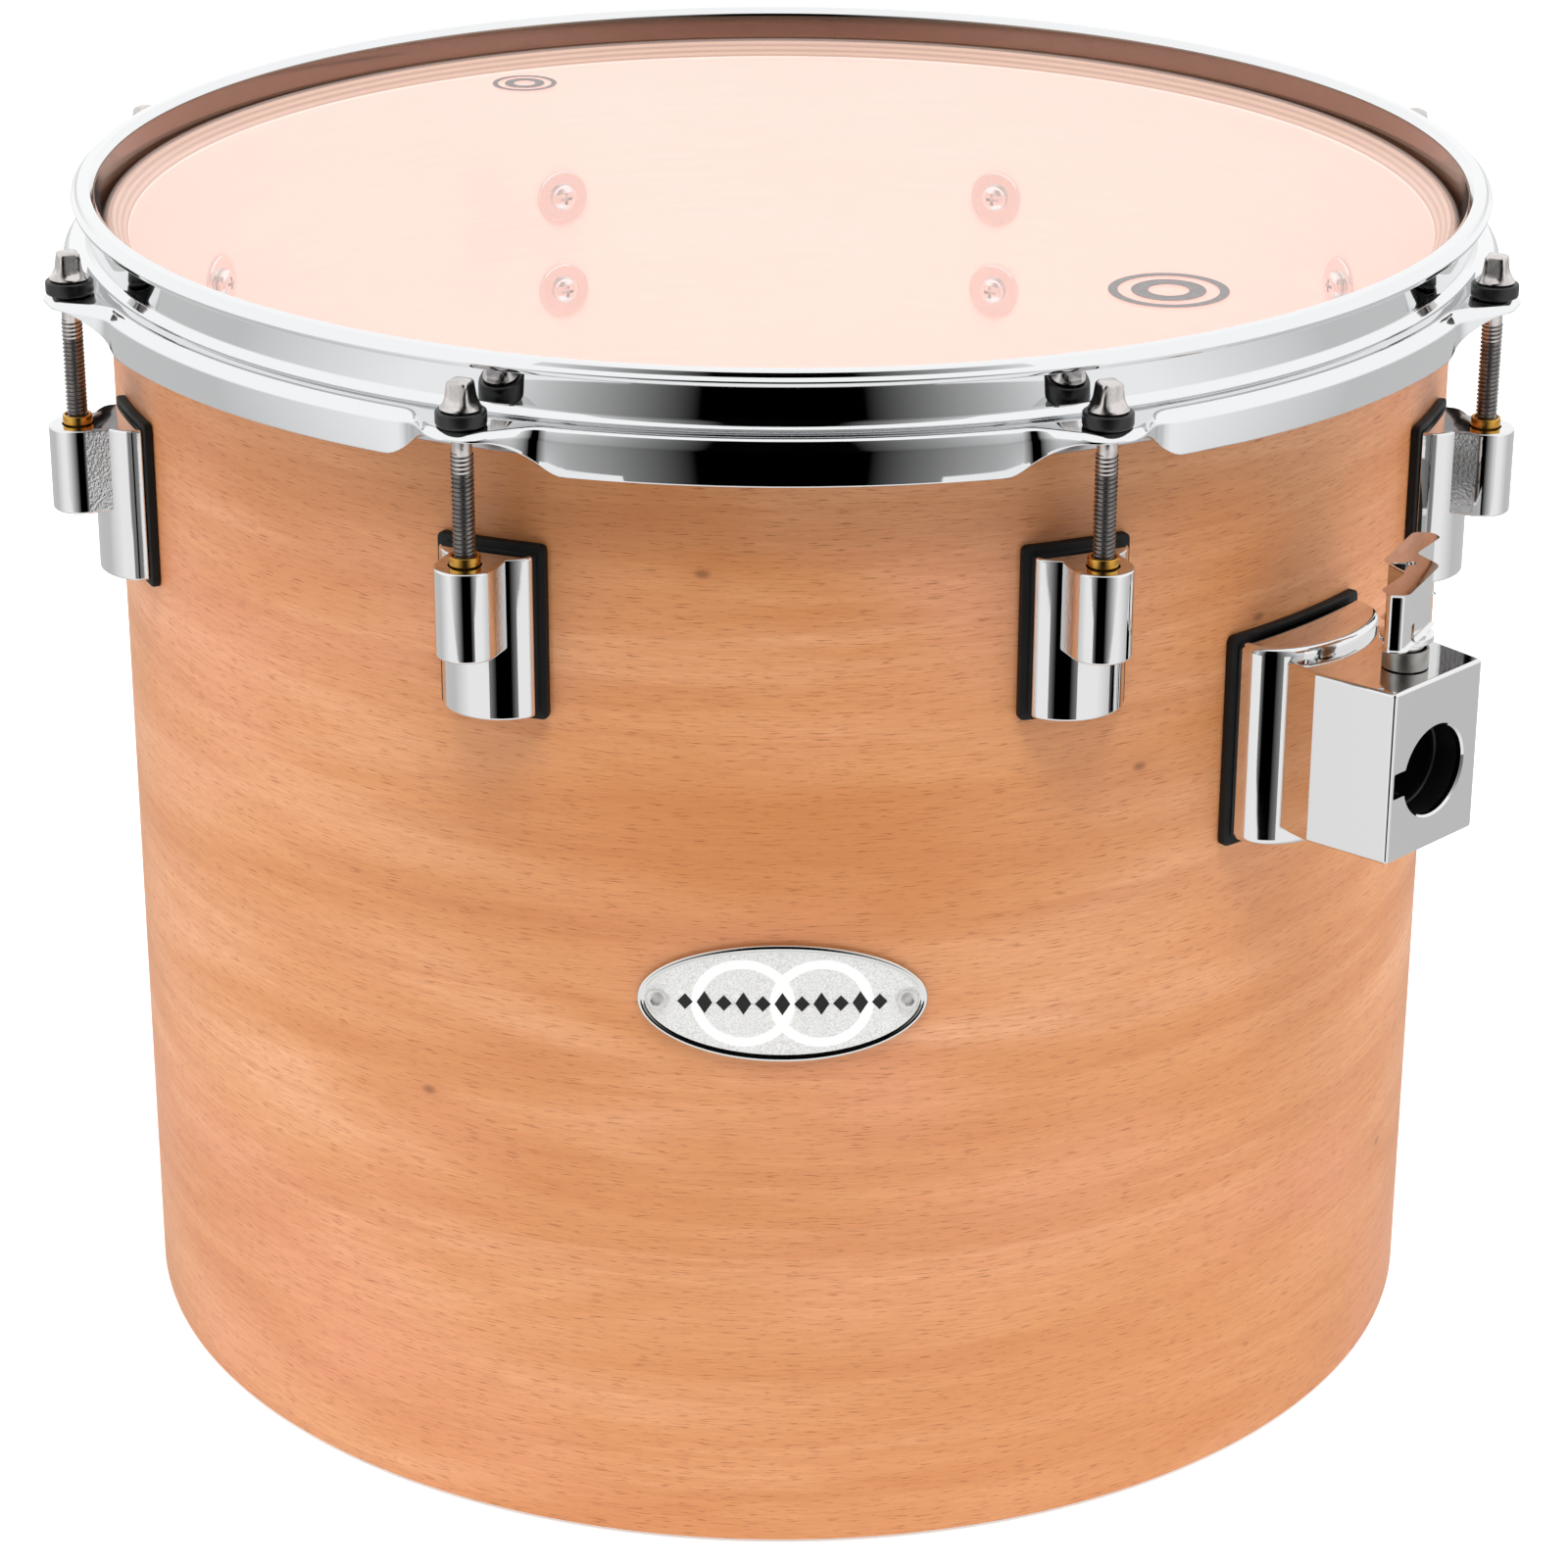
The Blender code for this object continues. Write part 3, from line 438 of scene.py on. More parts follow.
@dataclass(frozen=True)
class MouldedPolymer(Finish):
    """Moulded rubber or nylon: near black, with the fine spark-eroded grain of its mould."""

    grain_mm: float = 0.5
    grain_height: float = 0.00003
    ior: float = 1.52

    def shade(self, tree: NodeTree, shader: Node) -> None:
        """Adds mould grain and faint greyer patches of handling."""
        shader.inputs["IOR"].default_value = self.ior
        place = place_of(tree)
        grain = stretched_noise(tree, place, self.grain_mm, self.grain_mm, Detail=2.0, Roughness=0.5)
        relief = add_node(tree, "ShaderNodeBump",
                {"Height": grain, "Strength": 1.0, "Distance": self.grain_height})
        tree.links.new(relief, shader.inputs["Normal"])
        dust = stretched_noise(tree, place, 9.0, 9.0, Detail=3.0, Roughness=0.6)
        share = add_node(tree, RANGE, {0: dust, 1: 0.45, 2: 0.75, 4: 0.5})
        colour = add_node(tree, MIX, {0: share, 6: linear(self.colour), 7: linear("#101011")}, 2,
                data_type="RGBA")
        tree.links.new(colour, shader.inputs["Base Color"])
        rough = add_node(tree, RANGE, {0: dust, 1: 0.4, 2: 0.7, 3: self.roughness,
                    4: self.roughness + 0.12})
        tree.links.new(rough, shader.inputs["Roughness"])


@dataclass(frozen=True)
class PolyesterFilm(Finish):
    """Clear polyester film: see-through from above, and milky with gloss at a low angle."""

    clear_haze: float = 0.06
    grazing_haze: float = 0.17

    def shade(self, tree: NodeTree, shader: Node) -> None:
        """Lets light through by the angle of view, with faint cloudiness in the film."""
        shader.inputs["IOR"].default_value = 1.64
        facing = add_node(tree, "ShaderNodeLayerWeight", {"Blend": 0.5}, "Facing")
        haze = add_node(tree, RANGE, {0: facing, 1: 0.15, 2: 0.75, 3: self.clear_haze,
                    4: self.grazing_haze})
        cloud = stretched_noise(tree, place_of(tree), 60.0, 60.0, Detail=3.0, Roughness=0.6)
        uneven = add_node(tree, RANGE, {0: cloud, 1: 0.35, 2: 0.7, 3: 0.96, 4: 1.04})
        alpha = add_node(tree, MATH, {0: haze, 1: uneven}, operation="MULTIPLY")
        tree.links.new(alpha, shader.inputs["Alpha"])
        rough = add_node(tree, RANGE, {0: cloud, 1: 0.3, 2: 0.7, 3: self.roughness,
                    4: self.roughness + 0.02})
        tree.links.new(rough, shader.inputs["Roughness"])


@dataclass(frozen=True)
class PrintedInk(Finish):
    """Flat screen-printed or filled enamel, slightly uneven in cover."""

    second: str = "#303030"

    def shade(self, tree: NodeTree, shader: Node) -> None:
        """Adds uneven cover of the ink."""
        cover = stretched_noise(tree, place_of(tree), 1.2, 1.2, Detail=2.0, Roughness=0.6)
        share = add_node(tree, RANGE, {0: cover, 1: 0.4, 2: 0.75, 4: 0.5})
        colour = add_node(tree, MIX, {0: share, 6: linear(self.colour), 7: linear(self.second)}, 2,
                data_type="RGBA")
        tree.links.new(colour, shader.inputs["Base Color"])


VENEER = SatinVeneer("satin_birch_veneer", "#DE9C69", 0.40)
HOOP_CHROME = ChromePlate("polished_chrome_sheet", "#E6E7E8", 0.03, 45.0, 0.00002)
# A darker, brown copy of the hoop chrome for the wall's inward face: painted shade with a painted reflection
# of the wood-coloured head.
SHADED_INNER_CHROME = ChromePlate("hoop_chrome_painted_shade_inside", "#8E7C70", 0.09, 30.0, 0.00003)
CAST_CHROME = ChromePlate("polished_chrome_casting", "#E4E4E4", 0.035, 9.0, 0.00001, 0.7, 0.0000012)
ROUGH_CHROME = ChromePlate("chrome_over_raw_casting", "#D8D8D8", 0.10, 6.0, 0.00002, 0.8, 0.00007, 0.08)
SCREW_CHROME = ChromePlate("chrome_screw_head", "#DADADA", 0.10, 3.0, 0.00001)
PIN_STEEL = WorkedMetal("tumbled_steel_pin", "#E0DFDD", 0.38, (0.8, 0.8), 0.00001, "#C4C3C1", 0.3, 0.7)
KEY_STEEL = WorkedMetal("nickelled_forged_key_head", "#D6D1CE", 0.13, (1.5, 1.5), 0.00003, "#7E7874")
THREAD_STEEL = WorkedMetal("rolled_thread_steel", "#8F8B89", 0.24, (0.7, 0.7), 0.00001, "#4A4746")
COLLAR_STEEL = WorkedMetal("turned_steel_collar", "#A9A7A3", 0.30, (3.0, 0.15), 0.00001, "#86837F")
BRASS = WorkedMetal("turned_brass", "#D5A24A", 0.20, (2.0, 0.12), 0.00001, "#9C6C20", 0.5)
FLESH_ALLOY = WorkedMetal("rolled_hoop_alloy", "#C9C9CB", 0.32, (8.0, 0.3), 0.00001, "#A4A4A6")
SHOE_ALLOY = WorkedMetal("cast_shoe_alloy", "#AFAFB1", 0.34, (0.6, 0.6), 0.00001, "#8B8B8D")
PLATE_ALLOY = WorkedMetal("pearl_lacquer_on_blasted_plate", "#EDEDEB", 0.50, (0.35, 0.35), 0.00006,
        "#BDBEBD", 0.75, 0.25, 0.45)
RIM_ALLOY = ChromePlate("polished_badge_rim", "#E2E2E0", 0.06, 5.0, 0.00001)
RUBBER = MouldedPolymer("moulded_rubber", "#050505", 0.55, 0.5, 0.00003, 1.40)
NYLON = MouldedPolymer("moulded_nylon", "#0A0A0A", 0.30, 0.4, 0.00001, 1.53)
LINER = MouldedPolymer("nylon_bore_liner", "#080808", 0.42, 0.6, 0.00002, 1.53)
# The clear film is coloured pale pink: painted light that stands in for the glow of the wood inside the drum
# in the film's haze.
FILM = PolyesterFilm("clear_polyester_film", "#FBE2DA", 0.04)
BLACK_ENAMEL = PrintedInk("black_badge_enamel", "#0C0C0C", 0.32, "#1A1A1A")
PALE_ENAMEL = PrintedInk("pale_badge_enamel", "#F2F3F2", 0.30, "#E2E4E3")
HEAD_INK = PrintedInk("grey_head_ink", "#6E6A6A", 0.45, "#8A8584")


# ---------------------------------------------------------------------------------------------
# Mesh helpers
# ---------------------------------------------------------------------------------------------


def turned(point: Point, azimuth: float) -> Point:
    """Turns a point about Z by an azimuth in radians."""
    x, y, z = point
    return (x * cos(azimuth) - y * sin(azimuth), x * sin(azimuth) + y * cos(azimuth), z)


def rounded(corners: Section, radii: float | list[float], steps: int = 4) -> Section:
    """Rounds the corners of a closed outline.

    Args:
        corners: The outline's corners in order.
        radii: One radius for all corners, or one for each.
        steps: How many segments each rounding has.

    Returns:
        The outline with steps + 1 points for each corner.
    """
    count = len(corners)
    sizes = radii if isinstance(radii, list) else [radii] * count
    outline: Section = []
    for i, corner in enumerate(corners):
        here = Vector(corner)
        before, after = Vector(corners[i - 1]) - here, Vector(corners[(i + 1) % count]) - here
        spread = before.angle(after) if before.length and after.length else pi
        reach = min(sizes[i] / max(sin(spread / 2) / cos(spread / 2), 1e-6) if spread < 3.1 else 0.0,
                    0.49 * before.length, 0.49 * after.length)
        start, end = here + before.normalized() * reach, here + after.normalized() * reach
        for k in range(steps + 1):
            t = k / steps
            point = start * (1 - t) ** 2 + here * (2 * t * (1 - t)) + end * t ** 2
            outline.append((point.x, point.y))
    return outline


def inset(outline: Section, distance: float) -> Section:
    """Moves an outline that runs anticlockwise inwards.

    Args:
        outline: The points in order.
        distance: How far each side moves.

    Returns:
        The moved points, as many as before.
    """
    moved: Section = []
    count = len(outline)
    for i, (x, y) in enumerate(outline):
        before = Vector((x - outline[i - 1][0], y - outline[i - 1][1]))
        after = Vector((outline[(i + 1) % count][0] - x, outline[(i + 1) % count][1] - y))
        if before.length < 1e-9:
            before = after
        if after.length < 1e-9:
            after = before
        first, second = before.normalized(), after.normalized()
        left = Vector((-first.y - second.y, first.x + second.x))
        left.normalize()
        share = max(left.dot(Vector((-first.y, first.x))), 0.35)
        moved.append((x + left.x * distance / share, y + left.y * distance / share))
    return moved


def circle(radius: float, count: int, centre: Pair = (0.0, 0.0)) -> Section:
    """Returns the points of a circle, anticlockwise."""
    return [(centre[0] + radius * cos(2 * pi * i / count), centre[1] + radius * sin(2 * pi * i / count))
            for i in range(count)]


def mesh_of(name: str, bm: BMesh, merge: float = 1e-6) -> Mesh:
    """Turns a bmesh to a closed, outward, smooth-shaded mesh.

    Args:
        name: The mesh's name.
        bm: The bmesh, which is freed.
        merge: How near two points are made one.

    Returns:
        The new mesh.
    """
    bmesh.ops.remove_doubles(bm, verts=bm.verts, dist=merge)
    bmesh.ops.dissolve_degenerate(bm, dist=merge / 2, edges=bm.edges)
    bmesh.ops.recalc_face_normals(bm, faces=bm.faces)
    mesh = bpy.data.meshes.new(name)
    bm.to_mesh(mesh)
    bm.free()
    shade(mesh)
    return mesh


def shade(mesh: Mesh, angle: float = SHARP_ANGLE) -> None:
    """Shades a mesh smooth, with its edges above this angle kept sharp."""
    mesh.shade_smooth()
    mesh.set_sharp_from_angle(angle=angle)


def loft(bm: BMesh, rings: list[list[Point]], closed: bool) -> None:
    """Adds the skin over rings of points to a bmesh.

    Args:
        bm: The bmesh.
        rings: Rings of the same count of points.
        closed: True if the last ring joins the first. Otherwise both ends are capped.
    """
    made = [[bm.verts.new(point) for point in ring] for ring in rings]
    pairs = list(zip(made, made[1:] + made[:1])) if closed else list(zip(made, made[1:]))
    for ring, following in pairs:
        count = len(ring)
        for i in range(count):
            j = (i + 1) % count
            bm.faces.new((ring[i], ring[j], following[j], following[i]))
    if not closed:
        bm.faces.new(made[0][::-1])
        bm.faces.new(made[-1])


def lofted(name: str, rings: list[list[Point]], closed: bool, merge: float = 1e-6) -> Mesh:
    """Returns the mesh of the skin over rings of points. See loft and mesh_of for the rest."""
    bm = bmesh.new()
    loft(bm, rings, closed)
    return mesh_of(name, bm, merge)


def revolved(name: str, section: Section, steps: int, centre: Pair = (0.0, 0.0)) -> Mesh:
    """Turns a closed section of (radius, height) once round a vertical axis.

    Args:
        name: The mesh's name.
        section: The corners of the section.
        steps: How many segments there are round the axis.
        centre: The axis.

    Returns:
        The closed mesh.
    """
    bm = bmesh.new()
    made = []
    for i in range(steps):
        angle = 2 * pi * i / steps
        made.append([bm.verts.new((centre[0] + r * sin(angle), centre[1] - r * cos(angle), z)) for r,
                    z in section])
    count = len(section)
    for ring, following in zip(made, made[1:] + made[:1]):
        for i in range(count):
            j = (i + 1) % count
            corners = [ring[i], following[i], following[j], ring[j]]
            if section[i][0] <= 1e-9:
                corners.remove(following[i])
            if section[j][0] <= 1e-9:
                corners.remove(following[j])
            if len(corners) > 2:
                bm.faces.new(corners)
    return mesh_of(name, bm)


def soft_block(
    name: str, plan_at: Callable[[float], Section], span: Pair, edge: float, steps: int = 3,
) -> Mesh:
    """Returns an upright block with rounded top and bottom edges.

    Args:
        name: The mesh's name.
        plan_at: Gives the plan, anticlockwise, when it is drawn in by a distance.
        span: The bottom and the top height.
        edge: The radius of the top and bottom edges.
        steps: The segments of each rounding.

    Returns:
        The closed mesh.
    """
    rings = []
    low, high = span
    levels = [(low, 1, i) for i in range(steps + 1)] + [(high, -1, steps - i) for i in range(steps + 1)]
    for base, way, i in levels:
        angle = pi / 2 * i / steps
        height = base + way * edge * (1 - cos(angle))
        rings.append([(x, y, height) for x, y in plan_at(edge * (1 - sin(angle)))])
    return lofted(name, rings, closed=False)


def new_object(name: str, mesh: Mesh) -> Object:
    """Returns a new object in the scene that shows this mesh."""
    made = bpy.data.objects.new(name, mesh)
    bpy.context.scene.collection.objects.link(made)
    return made


def evaluated_mesh(obj: Object) -> Mesh:
    """Returns a plain mesh of an object with its modifiers in it."""
    graph = bpy.context.evaluated_depsgraph_get()
    return bpy.data.meshes.new_from_object(obj.evaluated_get(graph), depsgraph=graph)


def combined(
    name: str, base: Mesh, others: list[tuple[str, Mesh]],
) -> Mesh:
    """Joins or cuts a mesh by others with exact Booleans.

    Args:
        name: The name of the result.
        base: The first mesh.
        others: The operation, UNION or DIFFERENCE, and the mesh of each step.

    Returns:
        The finished mesh, shaded smooth.
    """
    body = new_object(name + "_base", base)
    tools = []
    for number, (operation, mesh) in enumerate(others):
        tool = new_object(f"{name}_tool_{number}", mesh)
        step = body.modifiers.new(f"step_{number}", "BOOLEAN")
        step.operation = operation
        step.solver = "EXACT"
        step.object = tool
        tools.append(tool)
    made = evaluated_mesh(body)
    made.name = name
    for temporary in [body, *tools]:
        bpy.data.objects.remove(temporary, do_unlink=True)
    return made


def weighted(mesh: Mesh) -> Mesh:
    """Returns the mesh with normals weighted by face area, so that flats stay flat in a mirror."""
    shade(mesh)
    holder = new_object("normals", mesh)
    step = holder.modifiers.new("weights", "WEIGHTED_NORMAL")
    step.keep_sharp = True
    step.weight = 80
    made = evaluated_mesh(holder)
    bpy.data.objects.remove(holder, do_unlink=True)
    return made


def joined(name: str, meshes: list[Mesh]) -> Mesh:
    """Returns one mesh that holds all of these, with their materials."""
    bm = bmesh.new()
    materials: list[Material] = []
    for mesh in meshes:
        first = len(bm.faces)
        bm.from_mesh(mesh)
        bm.faces.ensure_lookup_table()
        own = [m for m in mesh.materials]
        for material in own:
            if material not in materials:
                materials.append(material)
        for face in bm.faces[first:]:
            if own:
                face.material_index = materials.index(own[min(face.material_index, len(own) - 1)])
    made = bpy.data.meshes.new(name)
    bm.to_mesh(made)
    bm.free()
    for material in materials:
        made.materials.append(material)
    shade(made)
    return made


def moved(mesh: Mesh, name: str, matrix: Matrix) -> Mesh:
    """Returns a copy of a mesh with its points moved by a matrix."""
    copy = mesh.copy()
    copy.name = name
    copy.transform(matrix)
    return copy


def about_z(azimuth: float) -> Matrix:
    """Returns the turn about Z by an azimuth in radians."""
    return Matrix.Rotation(azimuth, 4, "Z")


def outward(x: float, distance: float, z: float) -> Matrix:
    """Returns the matrix that stands a piece drawn along +Z on the front of the drum, facing out."""
    return Matrix.Translation((x, -distance, z)) @ Matrix.Rotation(pi / 2, 4, "X")


def settle(
    name: str, mesh: Mesh, body: Body | str, slot: Slot, finish: Finish | None, *replaces: str,
) -> None:
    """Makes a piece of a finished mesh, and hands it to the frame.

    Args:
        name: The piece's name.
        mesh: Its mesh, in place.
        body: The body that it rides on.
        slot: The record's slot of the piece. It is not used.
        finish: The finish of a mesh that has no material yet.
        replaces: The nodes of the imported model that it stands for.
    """
    piece = new_object(name, mesh)
    rider = body.value if isinstance(body, Body) else body
    if finish and not mesh.materials:
        mesh.materials.append(finish.material())
    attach(piece, rider)
    if replaces:
        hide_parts(*replaces)
    log.info("%s: %d faces on %s", name, len(mesh.polygons), rider)


def dress_node(node: Object, finish: Finish) -> None:
    """Gives a carried-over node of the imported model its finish."""
    node.data.materials.clear()
    node.data.materials.append(finish.material())


# ---------------------------------------------------------------------------------------------
# Geometry Nodes
# ---------------------------------------------------------------------------------------------


def new_tree(name: str, sockets: dict[str, str]) -> tuple[NodeTree, Node]:
    """Starts a geometry tree with named inputs.

    Args:
        name: The tree's name.
        sockets: The socket type of each input.

    Returns:
        The tree and its input node.
    """
    tree = bpy.data.node_groups.new(name, "GeometryNodeTree")
    for label, kind in sockets.items():
        tree.interface.new_socket(label, in_out="INPUT", socket_type=kind)
    tree.interface.new_socket("Geometry", in_out="OUTPUT", socket_type="NodeSocketGeometry")
    return tree, tree.nodes.new("NodeGroupInput")


def end_tree(
    tree: NodeTree, start: Node, shape: NodeSocket,
) -> None:
    """Ends a tree in smooth shading, Realize Instances and Set Material."""
    smooth = add_node(tree, "GeometryNodeSetShadeSmooth", {"Geometry": shape})
    real = add_node(tree, "GeometryNodeRealizeInstances", {"Geometry": smooth})
    painted = add_node(tree, "GeometryNodeSetMaterial",
            {"Geometry": real, "Material": start.outputs["Material"]})
    add_node(tree, "NodeGroupOutput", {"Geometry": painted})


def grown(tree: NodeTree, name: str, values: dict[str, object]) -> Mesh:
    """Runs a geometry tree once.

    Args:
        tree: The tree.
        name: The name of the mesh that it makes.
        values: A value for each named input.

    Returns:
        The finished mesh.
    """
    holder = bpy.data.objects.new(name + "_holder", bpy.data.meshes.new(name))
    step = holder.modifiers.new("grow", "NODES")
    step.node_group = tree
    for item in tree.interface.items_tree:
        if item.in_out == "INPUT" and item.name in values:
            step[item.identifier] = values[item.name]
    bpy.context.scene.collection.objects.link(holder)
    made = evaluated_mesh(holder)
    made.name = name
    bpy.data.objects.remove(holder, do_unlink=True)
    return made


def thread_tree() -> NodeTree:
    """A screw thread: a grid wound into a helix, with two rows on the crest and two in the root."""
    tree, start = new_tree("machine_thread",
            {"Crest Radius": "NodeSocketFloat", "Root Radius": "NodeSocketFloat", "Pitch": "NodeSocketFloat",
             "Low": "NodeSocketFloat", "High": "NodeSocketFloat", "Columns": "NodeSocketInt",
             "Rows": "NodeSocketInt", "Axis": "NodeSocketVector", "Material": "NodeSocketMaterial"})
    size = start.outputs
    grid = add_node(tree, "GeometryNodeMeshGrid", {
        "Size X": 1.0, "Size Y": 1.0, "Vertices X": size["Columns"], "Vertices Y": size["Rows"]})
    place = add_node(tree, "ShaderNodeSeparateXYZ",
            {0: add_node(tree, "GeometryNodeInputPosition")}).node.outputs
    turn = add_node(tree, MATH, {0: place["X"], 1: 0.5}, operation="ADD")
    last = add_node(tree, MATH, {0: size["Rows"], 1: 1.0}, operation="SUBTRACT")
    share = add_node(tree, MATH, {0: place["Y"], 1: 0.5}, operation="ADD")
    row = add_node(tree, MATH, {0: add_node(tree, MATH, {0: share, 1: last}, operation="MULTIPLY")},
            operation="ROUND")
    turns = add_node(tree, MATH, {0: add_node(tree, MATH, {0: row, 1: 0.25}, operation="MULTIPLY"), 1: turn},
            operation="ADD")
    climb = add_node(tree, MATH, {0: add_node(tree, MATH, {0: turns, 1: 1.0}, operation="SUBTRACT"),
                1: size["Pitch"]}, operation="MULTIPLY")
    raw = add_node(tree, MATH, {0: size["Low"], 1: climb}, operation="ADD")
    height = add_node(tree, MATH, {0: add_node(tree, MATH, {0: raw, 1: size["High"]}, operation="MINIMUM"),
                1: size["Low"]}, operation="MAXIMUM")
    beyond = add_node(tree, MATH, {0: add_node(tree, MATH, {0: raw, 1: height}, operation="SUBTRACT")},
            operation="ABSOLUTE")
    inside = add_node(tree, MATH, {0: beyond, 1: 1e-7}, operation="LESS_THAN")
    phase = add_node(tree, MATH, {0: row, 1: 4.0}, operation="FLOORED_MODULO")
    crest = add_node(tree, MATH, {0: add_node(tree, MATH,
                    {0: add_node(tree, MATH, {0: phase, 1: 1.5}, operation="SUBTRACT")},
                    operation="ABSOLUTE"), 1: 1.0}, operation="LESS_THAN")
    depth = add_node(tree, MATH, {0: size["Crest Radius"], 1: size["Root Radius"]}, operation="SUBTRACT")
    radius = add_node(tree, MATH, {0: add_node(tree, MATH, {0: crest, 1: depth, 2: size["Root Radius"]},
                    operation="MULTIPLY_ADD"), 1: inside}, operation="MULTIPLY")
    angle = add_node(tree, MATH, {0: turn, 1: 2 * pi}, operation="MULTIPLY")
    point = add_node(tree, "ShaderNodeCombineXYZ",
            {"X": add_node(tree, MATH, {0: radius, 1: add_node(tree, MATH, {0: angle}, operation="COSINE")},
                    operation="MULTIPLY"),
             "Y": add_node(tree, MATH, {0: radius, 1: add_node(tree, MATH, {0: angle}, operation="SINE")},
                    operation="MULTIPLY"), "Z": height})
    on_axis = add_node(tree, "ShaderNodeVectorMath", {0: point, 1: size["Axis"]}, operation="ADD")
    wound = add_node(tree, "GeometryNodeSetPosition", {"Geometry": grid, "Position": on_axis})
    sewn = add_node(tree, "GeometryNodeMergeByDistance", {"Geometry": wound, "Distance": 0.000004})
    end_tree(tree, start, sewn)
    return tree


def wall_screw_tree() -> NodeTree:
    """Rows of screws that stand in rings on the wall inside the shell and face its axis."""
    tree, start = new_tree("wall_screws", {
        "Screw": "NodeSocketObject", "Rings": "NodeSocketInt", "Stations": "NodeSocketInt",
        "Radius": "NodeSocketFloat", "Low": "NodeSocketFloat", "Rise": "NodeSocketFloat",
        "First Azimuth": "NodeSocketFloat", "Material": "NodeSocketMaterial"})
    size = start.outputs
    count = add_node(tree, MATH, {0: size["Rings"], 1: size["Stations"]}, operation="MULTIPLY")
    points = add_node(tree, "GeometryNodePoints", {"Count": count})
    index = add_node(tree, "GeometryNodeInputIndex")
    ring = add_node(tree, MATH, {0: add_node(tree, MATH, {0: index, 1: size["Stations"]},
                    operation="DIVIDE")}, operation="FLOOR")
    station = add_node(tree, MATH, {0: index, 1: size["Stations"]}, operation="FLOORED_MODULO")
    step = add_node(tree, MATH, {0: 2 * pi, 1: size["Stations"]}, operation="DIVIDE")
    azimuth = add_node(tree, MATH, {0: station, 1: step, 2: size["First Azimuth"]},
            operation="MULTIPLY_ADD")
    place = add_node(tree, "ShaderNodeCombineXYZ",
            {"X": add_node(tree, MATH, {0: size["Radius"],
                        1: add_node(tree, MATH, {0: azimuth}, operation="SINE")}, operation="MULTIPLY"),
             "Y": add_node(tree, MATH, {0: add_node(tree, MATH, {0: size["Radius"], 1: -1.0},
                            operation="MULTIPLY"),
                        1: add_node(tree, MATH, {0: azimuth}, operation="COSINE")}, operation="MULTIPLY"),
             "Z": add_node(tree, MATH, {0: ring, 1: size["Rise"], 2: size["Low"]},
                    operation="MULTIPLY_ADD")})
    set_out = add_node(tree, "GeometryNodeSetPosition", {"Geometry": points, "Position": place})
    screw = add_node(tree, "GeometryNodeObjectInfo", {"Object": size["Screw"]}, "Geometry")
    facing = add_node(tree, "ShaderNodeCombineXYZ", {"Z": azimuth})
    copies = add_node(tree, "GeometryNodeInstanceOnPoints",
            {"Points": set_out, "Instance": screw, "Rotation": facing})
    end_tree(tree, start, copies)
    return tree


# ---------------------------------------------------------------------------------------------
# Shared small parts
# ---------------------------------------------------------------------------------------------


@dataclass
class PanScrew:
    """A domed screw head with a driver recess, drawn along +Z from its seat at zero."""

    head_radius: float
    head_height: float
    recess: Recess
    washer_radius: float = 0.0
    washer_height: float = 0.0
    shank_radius: float = 2.0 * MM
    shank_length: float = 3.0 * MM

    def build(self, name: str) -> Mesh:
        """Builds the head, its recess, and its washer if it has one.

        Args:
            name: The mesh's name.

        Returns:
            The mesh of the screw, standing on zero.
        """
        base = self.washer_height
        radius, height = self.head_radius, self.head_height
        dome = [(radius * cos(a), base + height * (0.35 + 0.65 * sin(a)))
                for a in (radians(v) for v in (0, 20, 40, 58, 74))]
        section = [(0.0, base - self.shank_length), (self.shank_radius, base - self.shank_length),
                   (self.shank_radius, base), (radius * 0.96, base), (radius, base + height * 0.12), *dome,
                   (0.0, base + height)]
        head = combined(name, revolved(name, section, 24), [("DIFFERENCE", self.driver_hole(base))])
        parts = [head]
        if self.washer_height:
            washer = [(self.shank_radius + 0.3 * MM, 0.0), (self.washer_radius, 0.0),
                    (self.washer_radius, self.washer_height * 0.6),
                    (self.washer_radius - 0.3 * MM, self.washer_height * 0.9),
                    (self.shank_radius + 0.3 * MM, self.washer_height * 0.9)]
            parts.append(revolved(name + "_washer", washer, 24))
        return joined(name, parts)

    def driver_hole(self, base: float) -> Mesh:
        """Returns the tapered cutter of the driver recess above this seat height."""
        reach, top = self.head_radius * 0.55, base + self.head_height * 1.3
        deep = base + self.head_height * 0.25
        if self.recess is Recess.HEX:
            plan = circle(reach, 6)
            foot = circle(reach * 0.97, 6)
        else:
            arm = reach * 0.24
            plan = [(arm, arm), (arm, reach), (-arm, reach), (-arm, arm), (-reach, arm), (-reach, -arm),
                    (-arm, -arm), (-arm, -reach), (arm, -reach), (arm, -arm), (reach, -arm), (reach, arm)]
            foot = [(x * 0.55, y * 0.55) for x, y in plan]
        return lofted("driver_hole", [[(x, y, deep) for x, y in foot], [(x, y, top) for x, y in plan]],
                closed=False)


class Front(Enum):
    """The shape of the front of a D plan."""

    OVAL = "oval"
    ARC = "arc"


